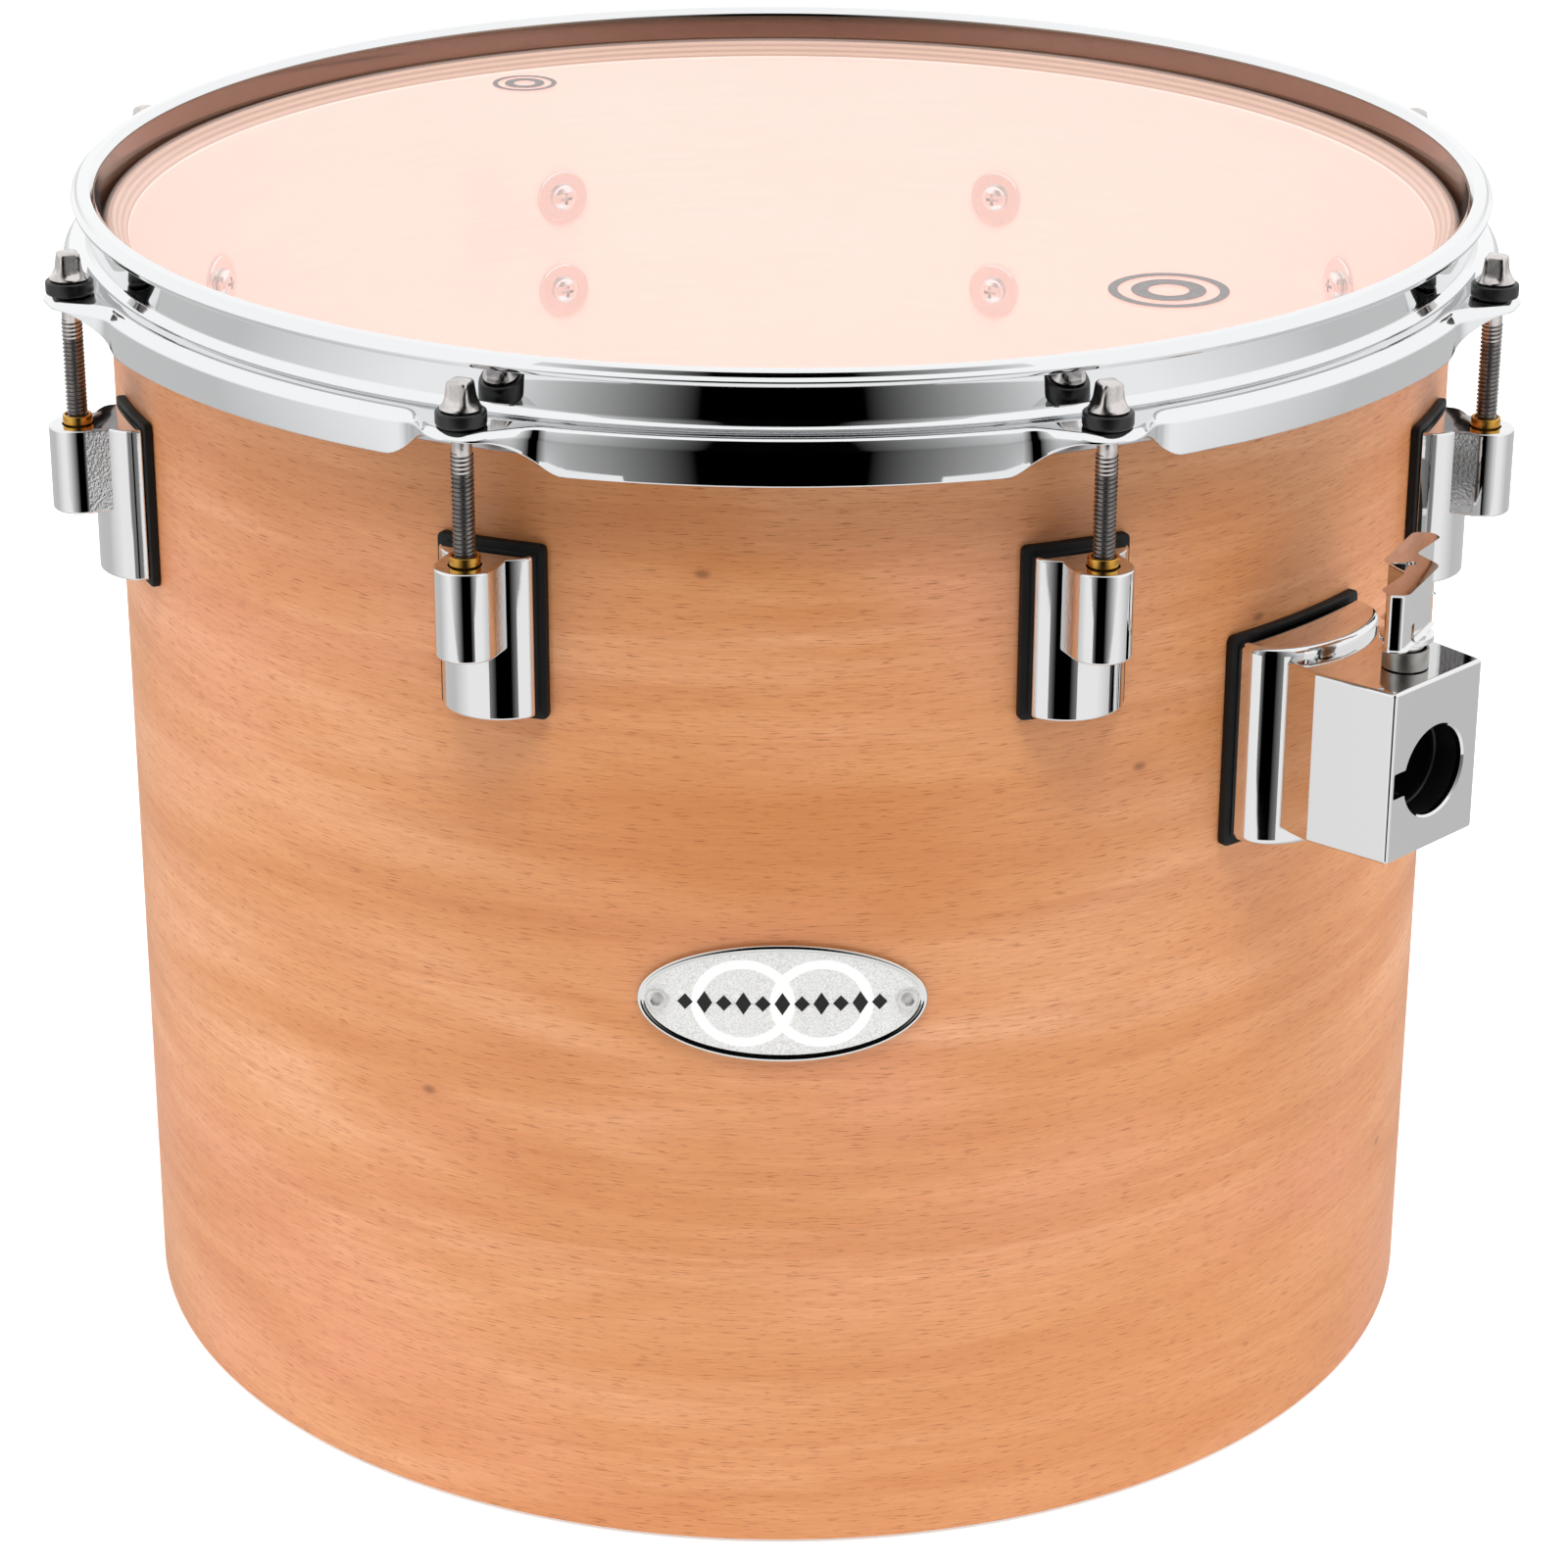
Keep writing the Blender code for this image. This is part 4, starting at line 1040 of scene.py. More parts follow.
def front_curve(style: Front, half_width: float, bulge: float, side_depth: float, count: int) -> Section:
    """Returns the front of a D plan from left to right, as (sideways, outwards).

    Args:
        style: Half an oval, or one shallow arc between two corners.
        half_width: Half of its width.
        bulge: How far its middle stands out.
        side_depth: How far its flat sides stand out.
        count: Its segments.

    Returns:
        The points of the curve.
    """
    rise = bulge - side_depth
    if style is Front.OVAL:
        turns = [pi - pi * i / count for i in range(count + 1)]
        return [(half_width * cos(a), side_depth + rise * sin(a)) for a in turns]
    radius = (half_width * half_width + rise * rise) / (2 * rise)
    sweep = atan2(half_width, radius - rise)
    turns = [-sweep + 2 * sweep * i / count for i in range(count + 1)]
    arc = [(radius * sin(a), bulge - radius + radius * cos(a)) for a in turns]
    start = Vector(arc[0]).lerp(Vector(arc[1]), 0.6)
    corner = [(-half_width, side_depth - 0.7 * MM), (-half_width + 0.10 * MM, side_depth - 0.2 * MM),
              (-half_width + 0.35 * MM, side_depth + 0.12 * MM), (start.x, start.y)]
    return corner + arc[1:-1] + [(-x, y) for x, y in corner[::-1]]


def d_plan(style: Front, shell_radius: float, half_width: float, back: float, side_depth: float,
           bulge: float, count: int) -> Section:
    """Returns a D-shaped plan, anticlockwise, whose back follows the shell.

    Args:
        style: The shape of its front.
        shell_radius: The radius that outward distances are measured from.
        half_width: Half of its width.
        back: The radius of its hollow back.
        side_depth: How far its flat sides stand out.
        bulge: How far the middle of its front stands out.
        count: The segments of its front.

    Returns:
        The plan's points.
    """
    front = [(x, -(shell_radius + y)) for x, y in front_curve(style, half_width, bulge, side_depth, count)]
    span = half_width / back
    rear = [(back * sin(span * k / 6), -back * cos(span * k / 6)) for k in range(6, -7, -1)]
    return front + rear


def foot_block(
    name: str, style: Front, shell_radius: float, back: float, size: Point, span: Pair, edge: float,
    count: int, steps: int = 4,
) -> Mesh:
    """Returns a D-shaped foot that stands on the shell, with rounded top and bottom edges.

    Args:
        name: The mesh's name.
        style: The shape of its front.
        shell_radius: The radius that outward distances are measured from.
        back: The radius of its hollow back.
        size: Half of its width, the depth of its flat sides, and the bulge of its front.
        span: The bottom and the top height.
        edge: The radius of the top and bottom edges.
        count: The segments of its front.
        steps: The segments of each rounding.

    Returns:
        The closed mesh.
    """
    half, side, bulge = size

    def plan_at(shrink: float) -> Section:
        """Returns the plan, drawn in at the front and the sides."""
        return d_plan(style, shell_radius, half - shrink, back, side, bulge - shrink, count)

    return soft_block(name, plan_at, span, edge, steps)


def pad_mesh(name: str, radius: float, half_azimuth: float, low: float, high: float, corner: float,
             thickness: float) -> Mesh:
    """A rubber pad bent round the shell, with rounded corners and a softened front edge.

    Args:
        name: The mesh's name.
        radius: The radius of its back.
        half_azimuth: Half of its width as an angle.
        low: Its lower end.
        high: Its upper end.
        corner: The radius of its corners.
        thickness: How thick it is.

    Returns:
        The closed mesh.
    """
    half = half_azimuth * radius
    plan = rounded([(-half, low), (half, low), (half, high), (-half, high)], corner, 4)
    dense: Section = []
    for (x0, z0), (x1, z1) in zip(plan, plan[1:] + plan[:1]):
        parts = max(1, ceil(abs(x1 - x0) / (2.0 * MM)))
        dense += [(x0 + (x1 - x0) * k / parts, z0 + (z1 - z0) * k / parts) for k in range(parts)]
    edge = 0.45 * MM
    levels = [(0.0, 0.0), (0.0, thickness - edge), (edge * 0.3, thickness - edge * 0.3), (edge, thickness)]
    bm = bmesh.new()
    rings = []
    for shrink, rise in levels:
        ring = []
        for x, z in inset(dense, shrink):
            reach = radius + rise
            ring.append((reach * sin(x / radius), -reach * cos(x / radius), z))
        rings.append([bm.verts.new(point) for point in ring])
    for ring, following in zip(rings, rings[1:]):
        for i in range(len(ring)):
            j = (i + 1) % len(ring)
            bm.faces.new((ring[i], ring[j], following[j], following[i]))
    for ring in (rings[0], rings[-1]):
        edges = [e for e in {edge for v in ring for edge in v.link_edges}
                if all(v in ring for v in e.verts)]
        bmesh.ops.triangle_fill(bm, use_beauty=True, use_dissolve=False, edges=edges)
    return mesh_of(name, bm)


# ---------------------------------------------------------------------------------------------
# Sub-assemblies
# ---------------------------------------------------------------------------------------------


@dataclass
class Studio:
    """The camera, the pale floor and the soft light, with a dark card that chrome can mirror."""

    lens: float = 100.316
    location: Point = (-0.00554, -1.13015, 0.61055)
    yaw: float = 0.0060
    pitch: float = 0.3985
    roll: float = 0.0040
    floor_size: float = 60.0

    def build(self) -> None:
        """Builds everything that isn't the object."""
        self.make_camera()
        self.make_world()
        self.make_floor()
        self.make_card()
        self.make_lights()
        settings = bpy.context.scene.view_settings
        settings.view_transform = "Standard"
        settings.look = "None"

    def make_camera(self) -> None:
        """Stands the camera in front of the drum and a little above it."""
        data = bpy.data.cameras.new("camera")
        data.lens = self.lens
        data.sensor_width = 36.0
        data.clip_start, data.clip_end = 0.05, 100.0
        camera = bpy.data.objects.new("camera", data)
        bpy.context.scene.collection.objects.link(camera)
        ahead = Vector((sin(self.yaw) * cos(self.pitch), cos(self.yaw) * cos(self.pitch), -sin(self.pitch)))
        level = Vector((cos(self.yaw), -sin(self.yaw), 0.0))
        above = level.cross(ahead)
        right = cos(self.roll) * level + sin(self.roll) * above
        up = -sin(self.roll) * level + cos(self.roll) * above
        turn = Matrix((right, up, -ahead)).transposed().to_4x4()
        camera.matrix_world = Matrix.Translation(self.location) @ turn
        bpy.context.scene.camera = camera

    def make_world(self) -> None:
        """Lights the scene from a white room that is a little darker below."""
        world = bpy.data.worlds.new("white_room")
        world.use_nodes = True
        bpy.context.scene.world = world
        tree = world.node_tree
        tree.nodes.clear()
        way = add_node(tree, "ShaderNodeTexCoord", out="Generated")
        parts = add_node(tree, "ShaderNodeSeparateXYZ", {0: way}).node.outputs
        below = add_node(tree, RANGE, {0: parts["Y"], 1: -0.45, 2: 0.15, 3: 1.0, 4: 0.62})
        share = add_node(tree, RANGE, {0: parts["Z"], 1: -0.22, 2: 0.10})
        level = add_node(tree, MIX, {0: share, 2: below, 3: 1.12}, data_type="FLOAT")
        room = add_node(tree, "ShaderNodeBackground", {"Color": linear("#FFFFFF"), "Strength": level})
        add_node(tree, "ShaderNodeOutputWorld", {"Surface": room})

    def make_floor(self) -> None:
        """Lays a pale floor that mirrors don't see, because the room stands for it there."""
        half = self.floor_size / 2
        bm = bmesh.new()
        corners = [(-half, -half), (half, -half), (half, half), (-half, half)]
        bm.faces.new([bm.verts.new((x, y, -0.0006)) for x, y in corners])
        mesh = bpy.data.meshes.new("floor")
        bm.to_mesh(mesh)
        bm.free()
        floor = new_object("floor", mesh)
        paint = bpy.data.materials.new("pale_floor")
        paint.use_nodes = True
        shader = paint.node_tree.nodes["Principled BSDF"]
        shader.inputs["Base Color"].default_value = linear("#F4F4F4")
        shader.inputs["Roughness"].default_value = 1.0
        shader.inputs["Specular IOR Level"].default_value = 0.0
        shader.inputs["Emission Color"].default_value = linear("#FFFFFF")
        shader.inputs["Emission Strength"].default_value = 0.45
        mesh.materials.append(paint)
        floor.visible_glossy = False

    def make_card(self) -> None:
        """Stands a black card round the camera, out of its sight, for the dark streaks in chrome."""
        bm = bmesh.new()
        right = [(0.30, -0.10), (0.30, 0.0), (0.75, -0.055), (0.75, 0.60), (0.55, 1.5)]
        corners = right + [(-x, z) for x, z in right[::-1]]
        bm.faces.new([bm.verts.new((x, -0.75, z)) for x, z in corners])
        mesh = bpy.data.meshes.new("dark_card")
        bm.to_mesh(mesh)
        bm.free()
        card = new_object("dark_card", mesh)
        paint = bpy.data.materials.new("black_felt")
        paint.use_nodes = True
        shader = paint.node_tree.nodes["Principled BSDF"]
        shader.inputs["Base Color"].default_value = (0.0, 0.0, 0.0, 1.0)
        shader.inputs["Specular IOR Level"].default_value = 0.0
        across = add_node(paint.node_tree, "ShaderNodeSeparateXYZ", {0: place_of(paint.node_tree)}, "X")
        aside = add_node(paint.node_tree, MATH, {0: across}, operation="ABSOLUTE")
        glow = add_node(paint.node_tree, RANGE, {0: aside, 1: 0.15, 2: 0.62, 4: 0.80})
        shader.inputs["Emission Color"].default_value = linear("#FFFFFF")
        paint.node_tree.links.new(glow, shader.inputs["Emission Strength"])
        mesh.materials.append(paint)
        card.visible_camera = False
        card.visible_transmission = False
        card.visible_shadow = False

    def make_lights(self) -> None:
        """Hangs one large soft light over the drum."""
        data = bpy.data.lights.new("soft_box", "AREA")
        data.shape = "RECTANGLE"
        data.size, data.size_y = 1.2, 0.8
        data.energy = 30.0
        lamp = bpy.data.objects.new("soft_box", data)
        lamp.location = (0.0, -0.75, 1.9)
        lamp.rotation_euler = (radians(24.0), 0.0, 0.0)
        lamp.visible_glossy = False
        bpy.context.scene.collection.objects.link(lamp)


@dataclass
class TomShell:
    """The ply shell, with the screws and washers that hold the lugs from inside."""

    radius: float = 177.8 * MM
    wall: float = 6.0 * MM
    edge_peak: float = 176.0 * MM
    steps: int = 240
    bore_azimuth: float = radians(45.0)
    bore_height: float = 204.8 * MM
    bore_radius: float = 13.1 * MM
    screw_heights: Pair = (232.0 * MM, 261.0 * MM)
    lug_count: int = 8
    first_azimuth: float = radians(22.5)

    def build(self) -> None:
        """Builds the shell and its inside screws."""
        low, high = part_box("shell")
        self.build_wall(low.z, high.z)
        self.build_screws()

    def build_wall(self, low: float, high: float) -> None:
        """Turns the shell's section and drills it for the tube."""
        inner = self.radius - self.wall
        section = rounded([
            (self.edge_peak, high), (self.radius - 0.5 * MM, high - 0.7 * MM),
            (self.radius, high - 2.0 * MM), (self.radius, low + 0.5 * MM), (self.radius - 0.8 * MM, low),
            (inner + 0.8 * MM, low), (inner, low + 0.8 * MM), (inner, high - (self.edge_peak - inner))],
            [0.4 * MM, 0.6 * MM, 0.8 * MM, 0.5 * MM, 0.5 * MM, 0.5 * MM, 0.5 * MM, 1.0 * MM], 3)
        wall = revolved("shell_wall", section, self.steps)
        drill = revolved("tube_drill", [(0.0, -12 * MM), (self.bore_radius, -12 * MM),
                                        (self.bore_radius, 12 * MM), (0.0, 12 * MM)], 48)
        turn = about_z(self.bore_azimuth) @ outward(0.0, self.radius - self.wall / 2, self.bore_height)
        drill.transform(turn)
        mesh = combined("shell_wall", wall, [("DIFFERENCE", drill)])
        shade(mesh)
        settle("shell_wall", mesh, Body.DRUM, Slot.WOOD, VENEER, "shell")

    def build_screws(self) -> None:
        """Sets a ring of washered screws for each row of lug holes."""
        screw = PanScrew(4.0 * MM, 2.7 * MM, Recess.CROSS, 7.8 * MM, 1.2 * MM, 2.0 * MM,
                1.5 * MM).build("lug_screw")
        # The screw stands on the wall and points at the axis.
        screw.transform(Matrix.Rotation(-pi / 2, 4, "X"))
        model = new_object("lug_screw_model", screw)
        mesh = grown(wall_screw_tree(), "lug_screws",
                {"Screw": model, "Rings": 2, "Stations": self.lug_count,
                 "Radius": self.radius - self.wall - 0.15 * MM, "Low": self.screw_heights[0],
                 "Rise": self.screw_heights[1] - self.screw_heights[0], "First Azimuth": self.first_azimuth,
                 "Material": SCREW_CHROME.material()})
        bpy.data.objects.remove(model, do_unlink=True)
        shade(mesh)
        settle("lug_screws", mesh, Body.DRUM, Slot.SCREW, None)


@dataclass
class Drumhead:
    """The clear film over the bearing edge, its printed marks, and the flesh hoop that grips it."""

    steps: int = 200
    film: float = 0.4 * MM
    mark_radius: float = 15.0 * MM

    def build(self) -> None:
        """Builds the film, the ring under it and the marks on it."""
        low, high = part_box("drumhead_film")
        top, thick = high.z, self.film
        reach = high.x
        over = [(0.0, top), (60 * MM, top), (120 * MM, top), (165 * MM, top), (175.4 * MM, top),
                (176.6 * MM, top - 0.12 * MM), (177.7 * MM, top - 0.5 * MM), (178.4 * MM, top - 1.2 * MM),
                (reach - 0.12 * MM, top - 2.2 * MM), (reach, top - 3.4 * MM), (reach, low.z)]
        under = [(r - thick * 0.9 if r > 176 * MM else r, z - (thick if r < 176 * MM else thick * 0.35))
                for r, z in over[:-1]]
        under.append((reach - thick, low.z))
        film = revolved("film", over + under[::-1], self.steps)
        settle("drumhead", film, Body.DRUM, Slot.FILM, FILM, "drumhead_film")
        self.build_flesh_hoop()
        self.build_marks(top)

    def build_flesh_hoop(self) -> None:
        """Turns the U-shaped alloy ring that holds the rim of the film."""
        low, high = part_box("flesh_hoop")
        inner = 178.3 * MM
        section = rounded([(inner, low.z), (high.x, low.z), (high.x, high.z - 1.0 * MM),
                    (high.x - 3.1 * MM, high.z - 0.9 * MM), (high.x - 4.8 * MM, high.z), (inner, high.z)],
                0.7 * MM, 3)
        ring = revolved("flesh_ring", section, self.steps)
        settle("flesh_ring", ring, Body.DRUM, Slot.FLESH, FLESH_ALLOY, "flesh_hoop")

    def build_marks(self, top: float) -> None:
        """Prints two plain ring marks on the film: one at the front right, one at the back left."""
        shapes = []
        for azimuth, reach, scale in ((radians(46.0), 132.0 * MM, 1.0), (radians(-148.0), 140.0 * MM, 0.62)):
            x, y = reach * sin(azimuth), -reach * cos(azimuth)
            turn = Matrix.Translation((x, y, top)) @ about_z(azimuth)
            for outer, inner in ((1.0, 0.84), (0.62, 0.34)):
                size = self.mark_radius * scale
                ring = revolved("mark", [(size * inner, -0.02 * MM), (size * outer, -0.02 * MM),
                                         (size * outer, 0.05 * MM), (size * inner, 0.05 * MM)], 48)
                ring.transform(turn)
                shapes.append(ring)
        settle("head_marks", joined("head_marks", shapes), Body.DRUM, Slot.FILM, HEAD_INK)


@dataclass
class PressedHoop:
    """The triple-flanged hoop: a lip, a wall, a flange, and a skirt that opens into eight ears."""

    stock: float = 2.3 * MM
    skirt_radius: float = 189.2 * MM
    ear_radius: float = 199.2 * MM
    ear_half_width: float = 3.0 * MM
    ear_blend: float = 15.0 * MM
    skirt_start: float = 6.0 * MM
    skirt_end: float = 23.0 * MM
    flange_top: float = 298.7 * MM
    skirt_bottom: float = 287.2 * MM
    lug_count: int = 8
    first_azimuth: float = radians(22.5)
    rod_circle: float = 193.1 * MM

    def build(self) -> None:
        """Sweeps the section round the drum, with a shorter skirt and an ear at each rod."""
        rings = []
        for azimuth, offset in self.stations():
            section = self.section(offset)
            rings.append([(r * sin(azimuth), -r * cos(azimuth), z) for r, z in section])
        mesh = lofted("counter_hoop", rings, closed=True)
        drills = [("DIFFERENCE", self.ear_drill(k)) for k in range(self.lug_count)]
        mesh = combined("counter_hoop", mesh, drills)
        shade(mesh, radians(75.0))
        mesh.materials.clear()
        mesh.materials.append(HOOP_CHROME.material())
        mesh.materials.append(SHADED_INNER_CHROME.material())
        # Faces of the wall that look inwards get the darker brown chrome, which is painted shade and a
        # painted reflection of the head.
        for face in mesh.polygons:
            reach = hypot(face.center.x, face.center.y)
            inward = face.normal.x * face.center.x + face.normal.y * face.center.y < -0.9 * reach
            face.material_index = 1 if inward and reach < 181.0 * MM else 0
        settle("counter_hoop", mesh, Body.HOOP, Slot.HOOP, None, "tension_hoop")

    def ear_drill(self, number: int) -> Mesh:
        """Returns the cutter of one ear's rod hole."""
        azimuth = self.first_azimuth + 2 * pi * number / self.lug_count
        centre = (self.rod_circle * sin(azimuth), -self.rod_circle * cos(azimuth))
        low, high = self.flange_top - 12 * MM, self.flange_top + 12 * MM
        return revolved("ear_drill", [(0.0, low), (3.4 * MM, low), (3.4 * MM, high), (0.0, high)], 24,
                centre)

    def stations(self) -> list[Pair]:
        """Returns (azimuth, sideways distance from the nearest rod) all round, dense near the ears."""
        half = pi * 190.0 * MM / self.lug_count
        marks = [v * MM for v in (0, 1.5, 3, 4, 4.7, 5.4, 6.1, 6.8, 7.5, 8.2, 9, 9.8, 10.6, 11.4, 12.2, 13,
                    14, 15, 16, 17.5, 19, 20.5, 22, 24, 27, 32, 37, 42, 48, 54, 60, 66, 71)]
        found: list[Pair] = []
        for k in range(self.lug_count):
            centre = self.first_azimuth + 2 * pi * k / self.lug_count
            span = pi / self.lug_count / half
            found += [(centre + v * span, v) for v in marks]
            found.append((centre + pi / self.lug_count, half))
            found += [(centre + 2 * pi / self.lug_count - v * span, v) for v in marks[:0:-1]]
        return found

    def section(self, offset: float) -> Section:
        """Returns the rounded section at a sideways distance from a rod, as (radius, height)."""
        ear = 1.0 - eased((offset - self.ear_half_width) / self.ear_blend)
        drop = eased((offset - self.skirt_start) / (self.skirt_end - self.skirt_start))
        under = self.flange_top - self.stock
        skirt = self.skirt_radius + (self.ear_radius - self.skirt_radius) * ear
        foot = under + (self.skirt_bottom - under) * drop
        knee = under + (0.5 - 1.3 * drop) * MM
        inner_knee = (189.0 * MM - 2.7 * MM * drop, under - 0.2 * MM * drop)
        corners = [(skirt - self.stock, foot), (skirt, foot), (skirt, knee),
                (skirt - 1.9 * MM, self.flange_top - 0.1 * MM), (183.6 * MM, self.flange_top + 0.1 * MM),
                (181.8 * MM, 300.9 * MM), (181.9 * MM, 310.4 * MM), (186.0 * MM, 310.0 * MM),
                (186.5 * MM, 311.4 * MM), (185.3 * MM, 312.2 * MM), (184.6 * MM, 313.4 * MM),
                (181.8 * MM, 313.6 * MM), (180.2 * MM, 311.9 * MM), (179.3 * MM, 299.6 * MM),
                (182.0 * MM, under), inner_knee]
        radii = [0.5, 0.5, 1.6, 2.4, 1.6, 1.4, 1.2, 0.5, 0.5, 0.5, 0.7, 1.0, 1.6, 1.6, 1.6, 1.2]
        return rounded(corners, [v * MM for v in radii], 4)


def eased(value: float) -> float:
    """Eases a value from 0 to 1."""
    value = min(max(value, 0.0), 1.0)
    return value * value * (3.0 - 2.0 * value)


@dataclass
class TensionStation:
    """One tensioning point: lug, pad and brass insert, and the washer and rod above them."""

    number: int
    thread: NodeTree
    shell_radius: float = 177.8 * MM
    pad_half_width: float = 13.8 * MM
    pad_thickness: float = 2.0 * MM
    lug_half_width: float = 12.0 * MM
    lug_bulge: float = 11.3 * MM
    side_depth: float = 5.0 * MM
    barrel_radius: float = 7.4 * MM
    barrel_bottom: float = 242.6 * MM
    gap: float = 0.3 * MM
    pitch: float = 1.0583 * MM
    azimuth: float = field(init=False)
    axis_reach: float = field(init=False)

    def __post_init__(self) -> None:
        """Finds where the rod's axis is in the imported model."""
        low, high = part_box(f"lug_insert_{self.number}")
        middle = (low + high) / 2
        self.azimuth = atan2(middle.x, -middle.y)
        self.axis_reach = hypot(middle.x, middle.y)

    def build(self, masters: dict[str, Mesh]) -> None:
        """Places this station's pieces.

        Args:
            masters: The shared meshes of the first station, which it fills if they aren't there.
        """
        if not masters:
            masters["lug"] = self.lug_mesh()
            masters["pad"] = self.pad()
            masters["insert"] = self.insert_mesh()
            masters["washer"] = self.washer_mesh()
            masters["key"] = self.key_mesh()
        n, turn = self.number, about_z(self.azimuth)
        plain = (("lug", "lug_casting", "lug", Slot.CAST, Body.DRUM),
                ("pad", "lug_gasket", "lug_pad", Slot.RUBBER, Body.DRUM),
                ("insert", "thread_insert", "lug_insert", Slot.BRASS, Body.DRUM),
                ("washer", "rod_seat", "rod_washer", Slot.NYLON, Body.HOOP))
        for key, name, node, slot, body in plain:
            mesh = moved(masters[key], f"{name}_{n}", turn)
            settle(f"{name}_{n}", mesh, body, slot, None, f"{node}_{n}")
        self.build_rod(masters["key"], turn)

    def lug_mesh(self) -> Mesh:
        """Casts the lug at the front: a D foot and an overhanging barrel, joined and bored."""
        low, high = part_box(f"lug_{self.number}")
        back = self.shell_radius + self.pad_thickness + 2 * self.gap
        size = (self.lug_half_width, self.side_depth, self.lug_bulge)
        foot = foot_block("lug_foot", Front.ARC, self.shell_radius, back, size, (low.z, high.z), 0.7 * MM,
                24)
        reach = self.axis_reach
        half = self.barrel_radius
        neck = [(-half * cos(pi * k / 36), -reach - half * sin(pi * k / 36)) for k in range(37)]
        neck += [(half, -self.shell_radius - 7.0 * MM), (-half, -self.shell_radius - 7.0 * MM)]
        barrel = soft_block("lug_barrel", partial(inset, neck), (self.barrel_bottom, high.z + 0.0001 * MM),
                0.7 * MM)
        bore = revolved("lug_bore", [(0.0, 246 * MM), (4.05 * MM, 246 * MM), (4.05 * MM, 270 * MM),
                    (0.0, 270 * MM)], 32, (0.0, -reach))
        mesh = combined("lug_casting", foot, [("UNION", barrel), ("DIFFERENCE", bore)])
        mesh = weighted(mesh)
        mesh.materials.clear()
        mesh.materials.append(CAST_CHROME.material())
        mesh.materials.append(ROUGH_CHROME.material())
        for face in mesh.polygons:
            side = abs(abs(face.center.x) - half) < 0.1 * MM and abs(face.normal.x) > 0.95
            face.material_index = 1 if side and face.center.y > -reach else 0
        return mesh

    def pad(self) -> Mesh:
        """Moulds the rubber pad at the front."""
        low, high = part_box(f"lug_pad_{self.number}")
        half = self.pad_half_width / self.shell_radius
        mesh = pad_mesh("lug_gasket", self.shell_radius + self.gap, half, low.z, high.z, 1.6 * MM,
                self.pad_thickness)
        mesh.materials.append(RUBBER.material())
        return mesh

    def insert_mesh(self) -> Mesh:
        """Turns the brass insert: a collar with a chamfered lip and a groove below it."""
        low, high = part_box(f"lug_insert_{self.number}")
        top, reach = high.z, 3.75 * MM
        bore = 2.95 * MM
        section = rounded([(bore, low.z), (reach - 0.2 * MM, low.z), (reach - 0.2 * MM, top - 2.3 * MM),
                           (reach, top - 2.1 * MM), (reach, top), (bore, top)],
                          [0.1 * MM, 0.1 * MM, 0.05 * MM, 0.1 * MM, 0.35 * MM, 0.25 * MM], 3)
        mesh = revolved("thread_insert", section, 36, (0.0, -self.axis_reach))
        mesh.materials.append(BRASS.material())
        return mesh

    def washer_mesh(self) -> Mesh:
        """Turns the nylon washer with softened edges."""
        low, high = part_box(f"rod_washer_{self.number}")
        reach = (high.x - low.x) / 2
        section = rounded([(3.1 * MM, low.z), (reach, low.z), (reach, high.z), (3.1 * MM, high.z)],
                          [0.2 * MM, 0.6 * MM, 0.6 * MM, 0.2 * MM], 3)
        mesh = revolved("rod_seat", section, 40, (0.0, -self.axis_reach))
        mesh.materials.append(NYLON.material())
        return mesh

    def key_mesh(self) -> Mesh:
        """Forges the rod's head: a square, tapered key that flares into a domed flange."""
        low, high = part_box(f"tension_rod_{self.number}")
        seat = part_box(f"rod_washer_{self.number}")[1].z + self.gap
        top = high.z
        rings = []
        # Each level gives its height, half width and squareness: 0 is round, 1 is square.
        levels = ((seat, 4.7, 0.0), (seat + 0.2 * MM, 4.95, 0.0), (seat + 0.5 * MM, 4.85, 0.0),
                  (seat + 0.9 * MM, 4.3, 0.05), (seat + 1.4 * MM, 3.75, 0.3), (seat + 2.0 * MM, 3.3, 0.6),
                  (seat + 2.7 * MM, 3.02, 0.85), (seat + 3.4 * MM, 2.9, 1.0), (top - 1.5 * MM, 2.66, 1.0),
                  (top - 0.8 * MM, 2.6, 0.95), (top - 0.3 * MM, 2.25, 0.9), (top - 0.05 * MM, 1.7, 0.85),
                  (top, 1.0, 0.8))
        count = 40
        for height, half, square in levels:
            ring = []
            for i in range(count):
                angle = 2 * pi * (i + 0.5) / count
                c, s = cos(angle), sin(angle)
                power = 2.0 + 7.0 * square
                reach = half * MM / (abs(c) ** power + abs(s) ** power) ** (1 / power)
                ring.append((reach * c, -self.axis_reach + reach * s, height))
            rings.append(ring)
        shank = [(2.2 * MM, low.z + 36 * MM), (2.45 * MM, low.z + 36.5 * MM), (2.45 * MM, seat)]
        for reach, height in shank[::-1]:
            rings.insert(0, [(reach * cos(2 * pi * (i + 0.5) / count),
                            -self.axis_reach + reach * sin(2 * pi * (i + 0.5) / count), height)
                        for i in range(count)])
        mesh = lofted("key_head", rings, closed=False)
        mesh.materials.append(KEY_STEEL.material())
        return mesh

